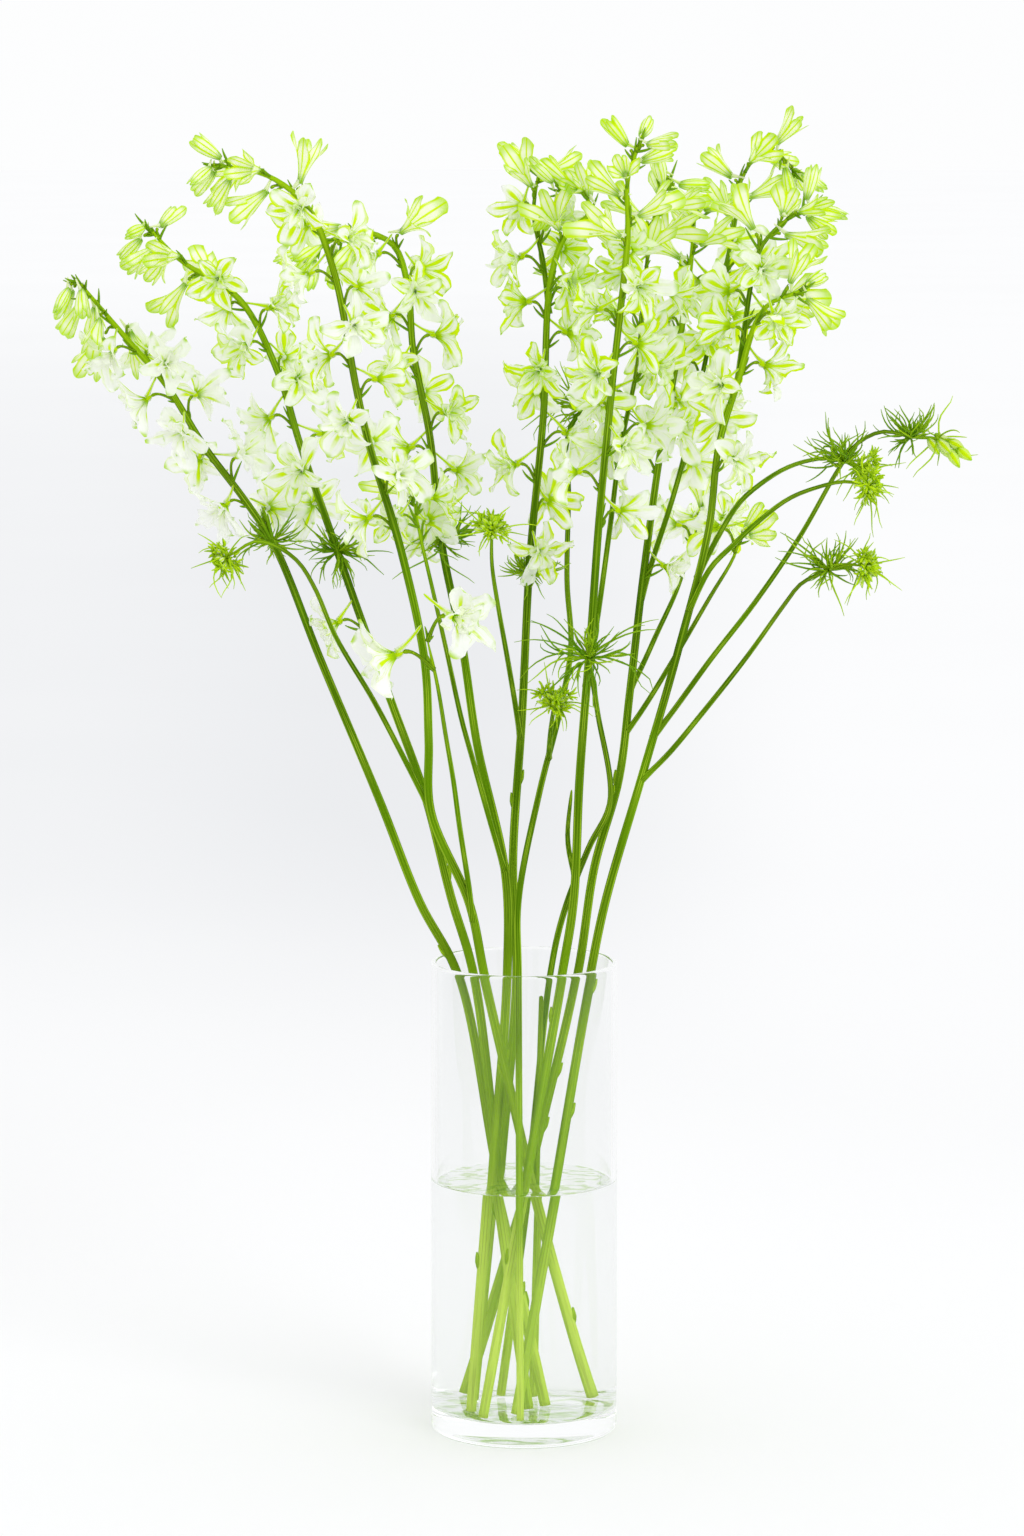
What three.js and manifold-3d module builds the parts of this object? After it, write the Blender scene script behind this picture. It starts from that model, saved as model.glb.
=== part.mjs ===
// Cut larkspur (delphinium) stems in a glass cylinder vase with water.
// Millimetres, +Z up. The origin is the centre of the vase's underside, on the vase's axis.
// Each flower stem is one grown body: its shoots, flower stalks, flowers, buds and thread leaves are
// fused to it.
import * as THREE from "three";
import { mergeVertices } from "three/addons/utils/BufferGeometryUtils.js";
import Module from "manifold-3d";

const wasm = await Module();
wasm.setup();

// ---- Driving dimensions ----------------------------------------------------------------------
const GAP = 0.3; // clearance between bodies that touch
const VASE = { radius: 50, height: 255, wall: 3, floor: 13, heel: 2.5, lip: 1, segments: 32 };
const WATER_LEVEL = 138;
const STEM = { root: 2.5, top: 1.4, sides: 6, stepLength: 36 };
const THIN_STEM = { root: 2, top: 1.2, sides: 5, stepLength: 36 };
const SHOOT = { root: 1.6, top: 0.8, sides: 4, stepLength: 24 };
const TIP_CROWDING = 1.35; // how strongly a tube's sections crowd towards its tip
const STALK = { open: 15, bud: 12, shortening: 5, sunk: 1 }; // the stalk of one flower
const NOD = 0.3; // how much every flower nods
const SPIKE_CROWDING = 1.6; // how strongly the flowers of a spike crowd towards its tip
const FLOWER = { petal: 18.5, width: 12.5, hub: 2.2, thickness: 0.9, spur: 13, spurRise: 7, petals: 5 };
const BUD = { length: 16.5, radius: 3.7, sides: 4 };
const THREAD = { length: 22, lift: 0.35 }; // thread leaves bend up by a share of their length
const TUFT = { core: 2.1, lowest: -0.5, share: 0.75 };
const HEAD = { core: 3.4, bud: 8, budShare: 0.3, threadShare: 0.12 };
const GOLDEN_ANGLE = 2.39996;
const HOLE_PLAY = 0.7; // how much wider than its stem a hole in the water is, on the radius
const HOLE_SHARE = 0.65; // how far up the straight stretch of a stem its hole reaches
const SIMPLIFY = 0.12; // sliver triangles finer than this are dropped after fusing

// ---- Routes: the middle line of every stem and shoot, from its cut foot or its fork to its tip -----
const FOOT_Z = VASE.floor + 1;
const STEMS = {
  stem_a: {
    line: [[10, -1, FOOT_Z], [-35, 13, 244], [-56, 19, 284], [-77, 25, 337], [-109, 28, 414],
      [-133, 30, 474], [-149, 31, 499], [-170, 32, 527], [-191, 33, 561], [-210, 34, 583], [-226, 35, 602],
      [-237, 35, 615]],
    spikes: [{ length: 165, open: 10, buds: 8, turn: 1.2, droop: 1.3 }],
    tufts: [{ below: 172, size: 0.8 }],
  },
  stem_b: {
    line: [[2, -9, FOOT_Z], [-27, 4, 247], [-39, 9, 288], [-53, 16, 342], [-70, 22, 389], [-88, 28, 438],
      [-107, 35, 492], [-120, 40, 529], [-131, 44, 565], [-152, 49, 605], [-184, 52, 626], [-199, 55, 641]],
    spikes: [
      { length: 185, open: 10, buds: 8, turn: 1.9, droop: 0.6 },
      { length: 250, open: 1, buds: 0, turn: 3.4 },
    ],
    tufts: [{ below: 205, size: 0.9 }],
  },
  stem_c: {
    line: [[30, 20, FOOT_Z], [-21, -38, 254], [-29, -41, 293], [-49, -45, 342], [-50, -48, 380],
      [-52, -51, 422], [-64, -55, 480], [-81, -59, 538], [-87, -62, 566], [-98, -66, 625], [-111, -68, 657],
      [-130, -70, 673], [-156, -70, 679]],
    spikes: [{ length: 225, open: 12, buds: 8, turn: 3.0, droop: 0.3 }],
    shoots: {
      arch: {
        line: [[-49, -45, 342], [-64, -39, 371], [-79, -34, 399], [-99, -27, 432], [-110, -22, 457],
          [-119, -20, 471], [-131, -17, 479], [-142, -15, 481], [-151, -14, 476], [-159, -12, 471]],
        head: 1,
      },
      bell: {
        line: [[-27, -41, 283], [-29, -45, 301], [-34, -53, 336], [-37, -59, 360], [-41, -64, 385],
          [-45, -70, 411], [-50, -75, 435]],
        spikes: [{ length: 16, open: 2, buds: 0, turn: 3.3, size: 1.3 }],
      },
    },
  },
  stem_e: {
    line: [[-26, -16, FOOT_Z], [-9, -12, 250], [-10, -6, 303], [-25, 3, 371], [-33, 9, 424], [-44, 15, 478],
      [-50, 22, 533], [-59, 28, 579], [-62, 32, 614], [-70, 34, 635], [-91, 35, 642], [-110, 34, 632]],
    spikes: [{ length: 210, open: 12, buds: 9, turn: 2.2, droop: 0.5 }],
    tufts: [{ below: 205, size: 1.1 }],
    shoots: {
      companion: {
        line: [[-10, -6, 303], [-20, -13, 339], [-27, -18, 365], [-33, -19, 387], [-41, -20, 424],
          [-49, -22, 460], [-54, -23, 482], [-58, -25, 503]],
        spikes: [{ length: 22, open: 3, buds: 2, turn: 1.4, size: 0.9 }],
      },
    },
  },
  stem_d: {
    line: [[-23, 13, FOOT_Z], [-4, 37, 242], [-6, 31, 303], [-1, 22, 386], [3, 12, 469], [10, 4, 545],
      [14, -5, 619], [22, -7, 642], [34, -9, 653], [31, -10, 663], [20, -10, 664]],
    spikes: [{ length: 215, open: 10, buds: 7, turn: 4.9 }],
    tufts: [{ below: 222, size: 0.8 }],
    shoots: {
      crown: {
        line: [[13, -2, 600], [10, 2, 626], [5, 6, 652], [7, 8, 672]],
        spikes: [{ length: 70, open: 4, buds: 3, turn: 1.0 }],
      },
      side: {
        line: [[-2, 23, 372], [-5, 13, 393], [-9, 1, 418], [-14, -14, 448], [-17, -24, 470],
          [-17, -35, 491]],
        head: 1,
      },
    },
  },
  stem_f: {
    line: [[-2, -38, FOOT_Z], [-3, -39, 255], [-3, -25, 292], [8, -4, 346], [19, 11, 388], [25, 24, 421],
      [23, 36, 455], [24, 53, 501], [24, 65, 533], [33, 70, 547]],
    thin: true,
    tufts: [{ below: 2, size: 1 }],
    shoots: {
      side: { line: [[13, 2, 364], [14, -14, 381], [16, -30, 399]], head: 1 },
    },
  },
  stem_s: {
    line: [[-10, 26, FOOT_Z], [14, 0, 248], [21, -13, 283], [34, -27, 320], [45, -38, 346], [38, -57, 396],
      [33, -70, 427]],
    thin: true,
    tufts: [{ below: 2, size: 1.25 }],
    shoots: { leaf: { line: [[27, -20, 302], [23, -20, 323], [25, -20, 350]] } },
  },
  stem_g: {
    line: [[-21, -32, FOOT_Z], [20, -30, 253], [26, -33, 293], [29, -38, 359], [35, -45, 440],
      [39, -49, 498], [45, -54, 563], [53, -61, 644], [53, -63, 672], [58, -65, 688]],
    spikes: [{ length: 200, open: 9, buds: 8, turn: 0.9 }],
    shoots: {
      fork: {
        line: [[32, -42, 407], [38, -38, 442], [45, -32, 492], [50, -27, 530], [59, -22, 574],
          [63, -16, 618], [68, -12, 652], [75, -10, 667]],
        spikes: [{ length: 150, open: 8, buds: 8, turn: 4.4 }],
      },
    },
  },
  stem_h: {
    line: [[-25, 29, FOOT_Z], [29, 31, 243], [38, 34, 301], [51, 36, 348], [57, 39, 396], [64, 41, 458],
      [73, 44, 524], [81, 46, 570], [89, 49, 624], [91, 50, 650]],
    spikes: [
      { length: 140, open: 8, buds: 6, turn: 2.7 },
      { length: 196, open: 1, buds: 0, turn: 6.1, size: 0.8 },
    ],
    shoots: {
      fork: {
        line: [[62, 41, 442], [69, 42, 466], [80, 45, 500], [88, 47, 530], [96, 50, 567], [104, 53, 605],
          [113, 56, 647], [116, 57, 668], [124, 58, 680], [136, 59, 682], [144, 60, 673]],
        spikes: [{ length: 200, open: 9, buds: 10, turn: 1.2 }],
      },
      low: {
        line: [[57, 39, 396], [64, 47, 409], [72, 58, 425], [83, 72, 447], [90, 85, 466], [97, 95, 483]],
        spikes: [{ length: 16, open: 3, buds: 1, turn: 3.3 }],
      },
      nod: {
        line: [[54, 38, 372], [59, 36, 379], [68, 34, 393], [87, 28, 426], [100, 25, 449], [111, 22, 468],
          [115, 20, 479]],
        spikes: [{ length: 8, open: 1, buds: 2, turn: 2.6 }],
      },
    },
  },
  stem_i: {
    line: [[-4, -22, FOOT_Z], [35, -24, 252], [43, -27, 292], [61, -32, 356], [80, -36, 424],
      [96, -41, 490], [101, -44, 534], [110, -46, 565], [124, -49, 605], [142, -50, 614]],
    spikes: [{ length: 110, open: 6, buds: 4, turn: 5.6 }],
    shoots: {
      top: {
        line: [[110, -46, 565], [114, -40, 593], [118, -35, 619], [123, -31, 636], [135, -28, 649],
          [146, -25, 655]],
        spikes: [{ length: 75, open: 4, buds: 7, turn: 0.3 }],
      },
      upper: {
        line: [[90, -39, 464], [102, -28, 486], [113, -19, 502], [124, -12, 511], [138, -5, 519],
          [153, 2, 523], [168, 8, 523], [182, 15, 516]],
        head: 1,
      },
      middle: {
        line: [[86, -38, 447], [97, -45, 470], [108, -50, 482], [121, -56, 495], [136, -61, 507],
          [149, -66, 513], [165, -71, 517], [179, -75, 515]],
        head: 1,
      },
      long: {
        line: [[67, -33, 379], [77, -33, 392], [98, -32, 421], [121, -32, 451], [144, -31, 485],
          [165, -31, 522], [174, -31, 534], [187, -31, 540], [203, -30, 537], [217, -30, 536],
          [230, -30, 529]],
        tufts: [{ below: 72, size: 1 }, { below: 30, size: 0.9 }],
        head: 1.6,
      },
      low: {
        line: [[61, -32, 356], [75, -39, 371], [91, -49, 392], [115, -63, 425], [134, -76, 454],
          [142, -81, 465], [152, -86, 471], [166, -91, 476], [176, -95, 475]],
        tufts: [{ below: 22, size: 1 }],
        head: 1,
      },
    },
  },
  stem_stub: { line: [[4, 24, FOOT_Z], [9, -16, 239]], thin: true },
};

// ---- Small tools -----------------------------------------------------------------------------
const vector = (p) => new THREE.Vector3(...p);

// A repeatable draw between 0 and 1 for each whole number.
function draw(n) {
  const s = Math.sin(n * 12.9898 + 4.1414) * 43758.5453;
  return s - Math.floor(s);
}

// A closed geometry as a solid that can be joined and cut.
function solidOf(geometry) {
  const bare = geometry.index ? geometry.toNonIndexed() : geometry.clone();
  bare.deleteAttribute("normal");
  bare.deleteAttribute("uv");
  const merged = mergeVertices(bare, 1e-4);
  return new wasm.Manifold(
    new wasm.Mesh({
      numProp: 3,
      vertProperties: merged.attributes.position.array,
      triVerts: new Uint32Array(merged.index.array),
    }),
  );
}

function geometryOf(solid) {
  const mesh = solid.getMesh();
  return new THREE.BufferGeometry()
    .setAttribute("position", new THREE.BufferAttribute(mesh.vertProperties, 3))
    .setIndex(new THREE.BufferAttribute(mesh.triVerts, 1))
    .toNonIndexed();
}

// A closed geometry from corner points and triangles that face outwards.
function shellOf(corners, triangles) {
  return new THREE.BufferGeometry()
    .setAttribute("position", new THREE.Float32BufferAttribute(corners.flatMap((c) => c.toArray()), 3))
    .setIndex(triangles.flat())
    .toNonIndexed();
}

function polygon(radius, sides) {
  const corners = [];
  for (let i = 0; i < sides; i++) {
    const angle = (2 * Math.PI * i) / sides;
    corners.push(new THREE.Vector2(radius * Math.cos(angle), radius * Math.sin(angle)));
  }
  return new THREE.Shape(corners);
}

// A curve whose sections crowd towards its tip, where a stem bends most.
class TipwardCurve extends THREE.Curve {
  constructor(base) {
    super();
    this.base = base;
  }
  shareOf(t) {
    return 1 - (1 - t) ** TIP_CROWDING;
  }
  getPointAt(t) {
    return this.base.getPointAt(this.shareOf(t));
  }
  getTangentAt(t) {
    return this.base.getTangentAt(this.shareOf(t));
  }
}

// A closed tube along a curve that narrows from one radius to the other.
function taperedTube(curve, startRadius, endRadius, sides, steps) {
  const along = { steps, bevelEnabled: false, extrudePath: curve };
  const geometry = new THREE.ExtrudeGeometry(polygon(1, sides), along);
  const centres = curve.getSpacedPoints(steps);
  const position = geometry.attributes.position;
  const corner = new THREE.Vector3();
  for (let i = 0; i < position.count; i++) {
    corner.fromBufferAttribute(position, i);
    let nearest = 0;
    centres.forEach((centre, k) => {
      if (centre.distanceTo(corner) < centres[nearest].distanceTo(corner)) nearest = k;
    });
    const radius = THREE.MathUtils.lerp(startRadius, endRadius, nearest / steps);
    corner.sub(centres[nearest]).multiplyScalar(radius).add(centres[nearest]);
    position.setXYZ(i, corner.x, corner.y, corner.z);
  }
  return geometry;
}

// The middle line of a stem that stands in the vase: straight from its foot to the rim, then bending.
function stemCurve(line) {
  const [foot, rim, ...rest] = line.map(vector);
  return new THREE.CatmullRomCurve3([foot, foot.clone().lerp(rim, 0.55), rim, ...rest], false, "centripetal");
}

function shootCurve(line) {
  return new THREE.CatmullRomCurve3(line.map(vector), false, "centripetal");
}

// A direction at right angles to the axis, turned round it by an angle.
function aroundAxis(axis, angle) {
  const level = new THREE.Vector3(axis.z, 0, -axis.x);
  const start = level.lengthSq() > 0.01 ? level.normalize() : new THREE.Vector3(1, 0, 0);
  return start.applyAxisAngle(axis, angle);
}

// ---- Flowers, buds and thread leaves ----------------------------------------------------------
// One flower with its stalk, about its own origin: it faces +Z, its spur runs back and up along +Y, and
// its stalk narrows from the back of the flower to the root point. spread is how far the petals lean off
// the flower's axis, in radians, and size scales the flower.
function flower(size, spread, root, seed) {
  const corners = [
    new THREE.Vector3(0, 0, FLOWER.hub * 0.5 * size),
    root,
    new THREE.Vector3(0, FLOWER.spurRise * size, -FLOWER.spur * size),
  ];
  const [heart, stalk, spur] = [0, 1, 2];
  const triangles = [];
  const pitch = (2 * Math.PI) / FLOWER.petals;
  const valley = (i) => 3 + (i % FLOWER.petals);
  for (let i = 0; i < FLOWER.petals; i++) {
    const angle = Math.PI / 2 + (i - 0.5) * pitch;
    corners.push(new THREE.Vector3(Math.cos(angle), Math.sin(angle), 0).multiplyScalar(FLOWER.hub * size));
  }
  for (let i = 0; i < FLOWER.petals; i++) {
    const angle = Math.PI / 2 + i * pitch;
    const out = new THREE.Vector3(Math.cos(angle), Math.sin(angle), 0);
    const side = new THREE.Vector3(-out.y, out.x, 0);
    const leaning = (lean) => out.clone().multiplyScalar(Math.sin(lean)).setZ(Math.cos(lean));
    const lean = spread + 0.3 * (draw(seed + i) - 0.5);
    const length = FLOWER.petal * size * (0.9 + 0.2 * draw(seed + 10 + i));
    const middle = out.clone().multiplyScalar(FLOWER.hub * 0.8 * size);
    middle.addScaledVector(leaning(lean), length * 0.55);
    const reach = Math.hypot(middle.x, middle.y);
    const half = Math.min(0.5 * FLOWER.width * size, 0.93 * reach * Math.tan(pitch / 2));
    const inward = leaning(lean - Math.PI / 2);
    const [ridge, right, end, left] = [0, 1, 2, 3].map((k) => corners.length + k);
    corners.push(middle.clone().addScaledVector(inward, FLOWER.thickness));
    corners.push(middle.clone().addScaledVector(side, -half));
    corners.push(middle.clone().addScaledVector(leaning(lean + 0.35), length * 0.45));
    corners.push(middle.clone().addScaledVector(side, half));
    const [a, b] = [valley(i), valley(i + 1)];
    triangles.push([ridge, heart, a], [ridge, a, right], [ridge, right, end]);
    triangles.push([ridge, end, left], [ridge, left, b], [ridge, b, heart]);
    triangles.push([left, end, right], [b, left, right], [b, right, a]);
    if (i === 0) triangles.push([b, a, spur], [a, stalk, spur], [stalk, b, spur]);
    else triangles.push([b, a, stalk]);
  }
  return shellOf(corners, triangles);
}

// One closed bud with its stalk: it points along +Z, and its stalk narrows to the root point.
function bud(size, root) {
  const corners = [new THREE.Vector3(0, 0, BUD.length * size), root];
  const triangles = [];
  for (let i = 0; i < BUD.sides; i++) {
    const angle = (2 * Math.PI * i) / BUD.sides;
    const out = new THREE.Vector3(Math.cos(angle), Math.sin(angle), 0).multiplyScalar(BUD.radius * size);
    corners.push(out.clone().setZ(BUD.length * 0.2 * size));
    corners.push(out.clone().multiplyScalar(0.8).setZ(BUD.length * 0.65 * size));
  }
  for (let i = 0; i < BUD.sides; i++) {
    const j = (i + 1) % BUD.sides;
    const [low, high, nextLow, nextHigh] = [2 + 2 * i, 3 + 2 * i, 2 + 2 * j, 3 + 2 * j];
    triangles.push([0, high, nextHigh], [high, low, nextLow], [high, nextLow, nextHigh], [1, nextLow, low]);
  }
  return shellOf(corners, triangles);
}

// Makes a piece that faces a direction, with its +Y towards up, at a place; its stalk ends at the root.
function grow(make, at, facing, up, root) {
  const z = facing.clone().normalize();
  const x = up.clone().cross(z).normalize();
  const frame = new THREE.Matrix4().makeBasis(x, z.clone().cross(x), z).setPosition(at);
  return make(root.clone().applyMatrix4(frame.clone().invert())).applyMatrix4(frame);
}

// The flowers and buds of one spike, on their stalks, the open ones lowest.
function spikeParts(curve, spike, seed) {
  const parts = [];
  const total = curve.getLength();
  const count = spike.open + spike.buds;
  const size = spike.size ?? 1;
  for (let i = 0; i < count; i++) {
    const share = count > 1 ? i / (count - 1) : 0;
    const u = 1 - (spike.length * (1 - share) ** SPIKE_CROWDING) / total;
    const middle = curve.getPointAt(u);
    const axis = curve.getTangentAt(u);
    const out = aroundAxis(axis, spike.turn + i * GOLDEN_ANGLE + 0.5 * (draw(seed + i) - 0.5));
    const isOpen = i < spike.open;
    const stalk = (isOpen ? STALK.open : STALK.bud - STALK.shortening * share) * size;
    const hang = new THREE.Vector3(0, 0, isOpen ? 0 : -(spike.droop ?? 0));
    const way = out.clone().addScaledVector(axis, isOpen ? 0.75 : 1.1).add(hang).normalize();
    const end = middle.clone().addScaledVector(way, stalk * (0.85 + 0.3 * draw(seed + 50 + i)));
    const root = middle.clone().addScaledVector(way, -STALK.sunk);
    const facing = out.clone().addScaledVector(axis, isOpen ? 0.15 : 0.8).addScaledVector(hang, 1.2);
    facing.z -= NOD;
    const ripeness = 1 - (0.35 * i) / spike.open;
    const youth = (i - spike.open) / Math.max(1, spike.buds);
    const make = isOpen
      ? (foot) => flower(size * (0.8 + 0.2 * ripeness), 0.75 + 0.45 * ripeness, foot, seed + 7 * i)
      : (foot) => bud(size * (1.2 - 0.3 * youth), foot);
    parts.push(grow(make, end, facing, axis, root));
  }
  return parts;
}

// A small ball round a point, some of whose faces are drawn out to points. reachOf gives how far.
function spikyBall(at, radius, detail, reachOf) {
  const faces = new THREE.IcosahedronGeometry(radius, detail).attributes.position;
  const corners = [];
  const triangles = [];
  for (let i = 0; i < faces.count; i += 3) {
    const face = [0, 1, 2].map((k) => new THREE.Vector3().fromBufferAttribute(faces, i + k));
    const out = face[0].clone().add(face[1]).add(face[2]).normalize();
    const reach = reachOf(i / 3, out);
    const [a, b, c, tip] = [0, 1, 2, 3].map((k) => corners.length + k);
    corners.push(...face);
    if (reach > radius) {
      corners.push(out.multiplyScalar(reach).add(new THREE.Vector3(0, 0, THREAD.lift * reach)));
      triangles.push([a, b, tip], [b, c, tip], [c, a, tip]);
    } else {
      triangles.push([a, b, c]);
    }
  }
  return shellOf(corners, triangles).translate(at.x, at.y, at.z);
}

// A whorl of stiff thread leaves round a point of a stem: most of them point up and out.
function tuft(at, size, seed) {
  return spikyBall(at, TUFT.core, 0, (face, out) => {
    const grows = out.z > TUFT.lowest && draw(seed + face) < TUFT.share;
    return grows ? THREAD.length * size * (0.65 + 0.5 * draw(seed + face + 30)) : 0;
  });
}

// A tight head of small buds at the end of a shoot, with thread leaves among them. size scales its
// ball and its buds.
function budHead(at, size, seed) {
  return spikyBall(at, HEAD.core * size, 1, (face) => {
    const kind = draw(seed + face);
    if (kind < HEAD.threadShare) return THREAD.length * (0.5 + 0.4 * draw(seed + face + 90));
    return kind < HEAD.threadShare + HEAD.budShare ? HEAD.bud * size : 0;
  });
}

// Everything that grows on one route: its own tube, spikes, tufts and head.
function routeParts(curve, route, width, seed) {
  const total = curve.getLength();
  const steps = Math.max(2, Math.round(total / width.stepLength));
  const parts = [taperedTube(new TipwardCurve(curve), width.root, width.top, width.sides, steps)];
  (route.spikes ?? []).forEach((spike, k) => parts.push(...spikeParts(curve, spike, seed + 100 * k)));
  (route.tufts ?? []).forEach(({ below, size }, k) => {
    parts.push(tuft(curve.getPointAt(1 - below / total), size, seed + k));
  });
  if (route.head) parts.push(budHead(curve.getPointAt(1), route.head, seed));
  return parts;
}

// ---- The bodies --------------------------------------------------------------------------------
function stemSolid(stem, seed) {
  const width = stem.thin ? THIN_STEM : STEM;
  const parts = routeParts(stemCurve(stem.line), stem, width, seed);
  Object.values(stem.shoots ?? {}).forEach((shoot, k) => {
    parts.push(...routeParts(shootCurve(shoot.line), shoot, SHOOT, seed + 200 * (k + 1)));
  });
  const fused = parts.map(solidOf).reduce((all, part) => all.add(part));
  // Fusing can seal a small hollow between petals: only the outer surface is kept.
  const outer = fused.decompose().sort((a, b) => b.volume() - a.volume())[0];
  return outer.asOriginal().simplify(SIMPLIFY);
}

function vaseGeometry() {
  const { radius, height, wall, floor, heel, lip } = VASE;
  const inner = radius - wall;
  const outline = [
    [0, 0], [radius - heel, 0], [radius - heel * 0.3, heel * 0.3], [radius, heel],
    [radius, height - lip], [radius - lip, height], [inner + lip, height], [inner, height - lip],
    [inner, floor + heel], [inner - heel, floor], [0, floor],
  ].map(([r, z]) => new THREE.Vector2(r, z));
  return new THREE.LatheGeometry(outline, VASE.segments).rotateX(Math.PI / 2);
}

// The water fills the vase to its level, with a plain straight hole for each stem that stands in it.
function waterSolid() {
  const radius = VASE.radius - VASE.wall - GAP;
  const base = VASE.floor + GAP;
  const outline = [
    [0, base], [radius - VASE.heel, base], [radius, base + VASE.heel], [radius, WATER_LEVEL], [0, WATER_LEVEL],
  ].map(([r, z]) => new THREE.Vector2(r, z));
  let water = solidOf(new THREE.LatheGeometry(outline, VASE.segments).rotateX(Math.PI / 2));
  for (const stem of Object.values(STEMS)) {
    const [foot, rim] = stem.line.map(vector);
    const hole = new THREE.LineCurve3(foot.clone().lerp(rim, -0.05), foot.clone().lerp(rim, HOLE_SHARE));
    const radiusOfHole = (stem.thin ? THIN_STEM : STEM).root + HOLE_PLAY;
    water = water.subtract(solidOf(taperedTube(hole, radiusOfHole, radiusOfHole, 8, 1)));
  }
  return water;
}

const finish = (color, roughness, extra = {}) =>
  new THREE.MeshStandardMaterial({ color, roughness, metalness: 0, ...extra });
const GLASS = finish(0xe9f1ee, 0.03, { transparent: true, opacity: 0.3 });
const WATER = finish(0xeef6f4, 0.02, { transparent: true, opacity: 0.25 });
const GREEN = finish(0x5f9a2c, 0.55);

const bouquet = new THREE.Group();

function addBody(name, geometry, material) {
  const mesh = new THREE.Mesh(geometry, material);
  mesh.name = name;
  bouquet.add(mesh);
}

addBody("vase", vaseGeometry(), GLASS);
addBody("water", geometryOf(waterSolid()), WATER);
Object.entries(STEMS).forEach(([name, stem], k) => {
  addBody(name, geometryOf(stemSolid(stem, 1000 * (k + 1))), GREEN);
});

export default bouquet;
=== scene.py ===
"""Looks of a glass cylinder vase of cut larkspur stems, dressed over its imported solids.

Metres, +Z up, with the origin at the centre of the vase's underside. Every stem is dressed by four
pieces that follow the stem's own solid: its green stalks, its petals, its buds and its thread leaves.
"""

import logging
import math
from dataclasses import dataclass, field
from enum import Enum

import bpy
import numpy as np
from mathutils import Matrix, Quaternion, Vector


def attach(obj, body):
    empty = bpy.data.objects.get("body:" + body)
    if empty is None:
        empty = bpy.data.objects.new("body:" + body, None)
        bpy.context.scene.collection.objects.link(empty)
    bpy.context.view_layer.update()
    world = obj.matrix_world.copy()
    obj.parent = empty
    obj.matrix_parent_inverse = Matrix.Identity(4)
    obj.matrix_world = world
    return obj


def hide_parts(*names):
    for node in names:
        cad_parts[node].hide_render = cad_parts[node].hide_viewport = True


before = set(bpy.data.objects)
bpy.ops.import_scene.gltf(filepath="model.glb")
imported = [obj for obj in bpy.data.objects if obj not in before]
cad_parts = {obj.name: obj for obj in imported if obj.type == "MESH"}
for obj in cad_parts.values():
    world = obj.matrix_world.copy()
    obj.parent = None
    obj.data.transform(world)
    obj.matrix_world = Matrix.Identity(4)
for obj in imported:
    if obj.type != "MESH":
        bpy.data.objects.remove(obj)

LOG = logging.getLogger("larkspur_vase")
MM = 0.001
BODY = "root"
BLADE = "blade"  # the mesh attribute of every plant piece: across, along and lime
GOLDEN_ANGLE = 2.39996  # the turn from one flower, bud or leaf to the next, in radians
SHARP_EDGE = math.radians(30)
RUN_OUT = 1.2 * MM  # the short stretch beside a rounding, so that the long faces stay true
LATHE_SIDES = 256
EDGE_STEPS, LIP_STEPS = 12, 16  # how finely the roundings of the glass and the water are divided
RIB_HEIGHT = 0.09  # as a share of a stem's radius
LEAST_LEVEL = 0.01  # squared: how long a level direction has to be to count as one

Colour = tuple[float, float, float]
Point = tuple[float, float, float]
Pair = tuple[float, float]
Socket = bpy.types.NodeSocket
Material = bpy.types.Material


class Slot(Enum):
    """The record's material slots."""

    GLASS = "glass"
    WATER = "water"
    STEM = "stem"
    PETAL = "petal"
    BUD = "bud"
    LEAF = "leaf"


class Head(Enum):
    """How a side shoot ends."""

    NONE = "none"
    TIGHT = "tight"
    LONG = "long"


# ---- Small tools -----------------------------------------------------------------------------------

DRAW_PACE, DRAW_START, DRAW_SPAN = 12.9898, 4.1414, 43758.5453


# Every plant part draws by its own seed. What is added to a seed only keeps its draws apart.
def draw(number: float) -> float:
    """A repeatable draw from 0 to 1 for each number."""
    value = math.sin(number * DRAW_PACE + DRAW_START) * DRAW_SPAN
    return value - math.floor(value)


def spread_draw(number: float, low: float, high: float) -> float:
    """A repeatable draw between two values.

    Args:
        number: What the draw is for.
        low: The least value.
        high: The most value.

    Returns:
        The drawn value.
    """
    return low + (high - low) * draw(number)


def smooth_step(low: float, high: float, value: np.ndarray | float) -> np.ndarray | float:
    """A soft step from 0 at low to 1 at high.

    Args:
        low: Where the step starts.
        high: Where the step ends.
        value: Where it is read.

    Returns:
        The share of the step that lies behind the value.
    """
    share = np.clip((value - low) / (high - low), 0.0, 1.0)
    return share * share * (3 - 2 * share)


def unit(vector: Vector) -> Vector:
    """The direction of a vector."""
    return vector.normalized()


def around_axis(axis: Vector, angle: float) -> Vector:
    """A direction at right angles to an axis.

    Args:
        axis: The axis.
        angle: How far round the axis it is turned, in radians.

    Returns:
        The direction.
    """
    level = Vector((axis.z, 0.0, -axis.x))
    start = level.normalized() if level.length_squared > LEAST_LEVEL else Vector((1.0, 0.0, 0.0))
    start.rotate(Quaternion(axis, angle))
    return start


def new_piece(name: str, corners: list, faces: list[list[int]], material: Material) -> bpy.types.Object:
    """Makes a mesh object and links it to the scene.

    Args:
        name: Its name.
        corners: Its corners.
        faces: Its faces, as numbers of its corners.
        material: Its finish.

    Returns:
        The object, with flat faces.
    """
    mesh = bpy.data.meshes.new(name)
    mesh.from_pydata(corners, [], faces)
    mesh.materials.append(material)
    piece = bpy.data.objects.new(name, mesh)
    bpy.context.scene.collection.objects.link(piece)
    return piece


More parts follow.
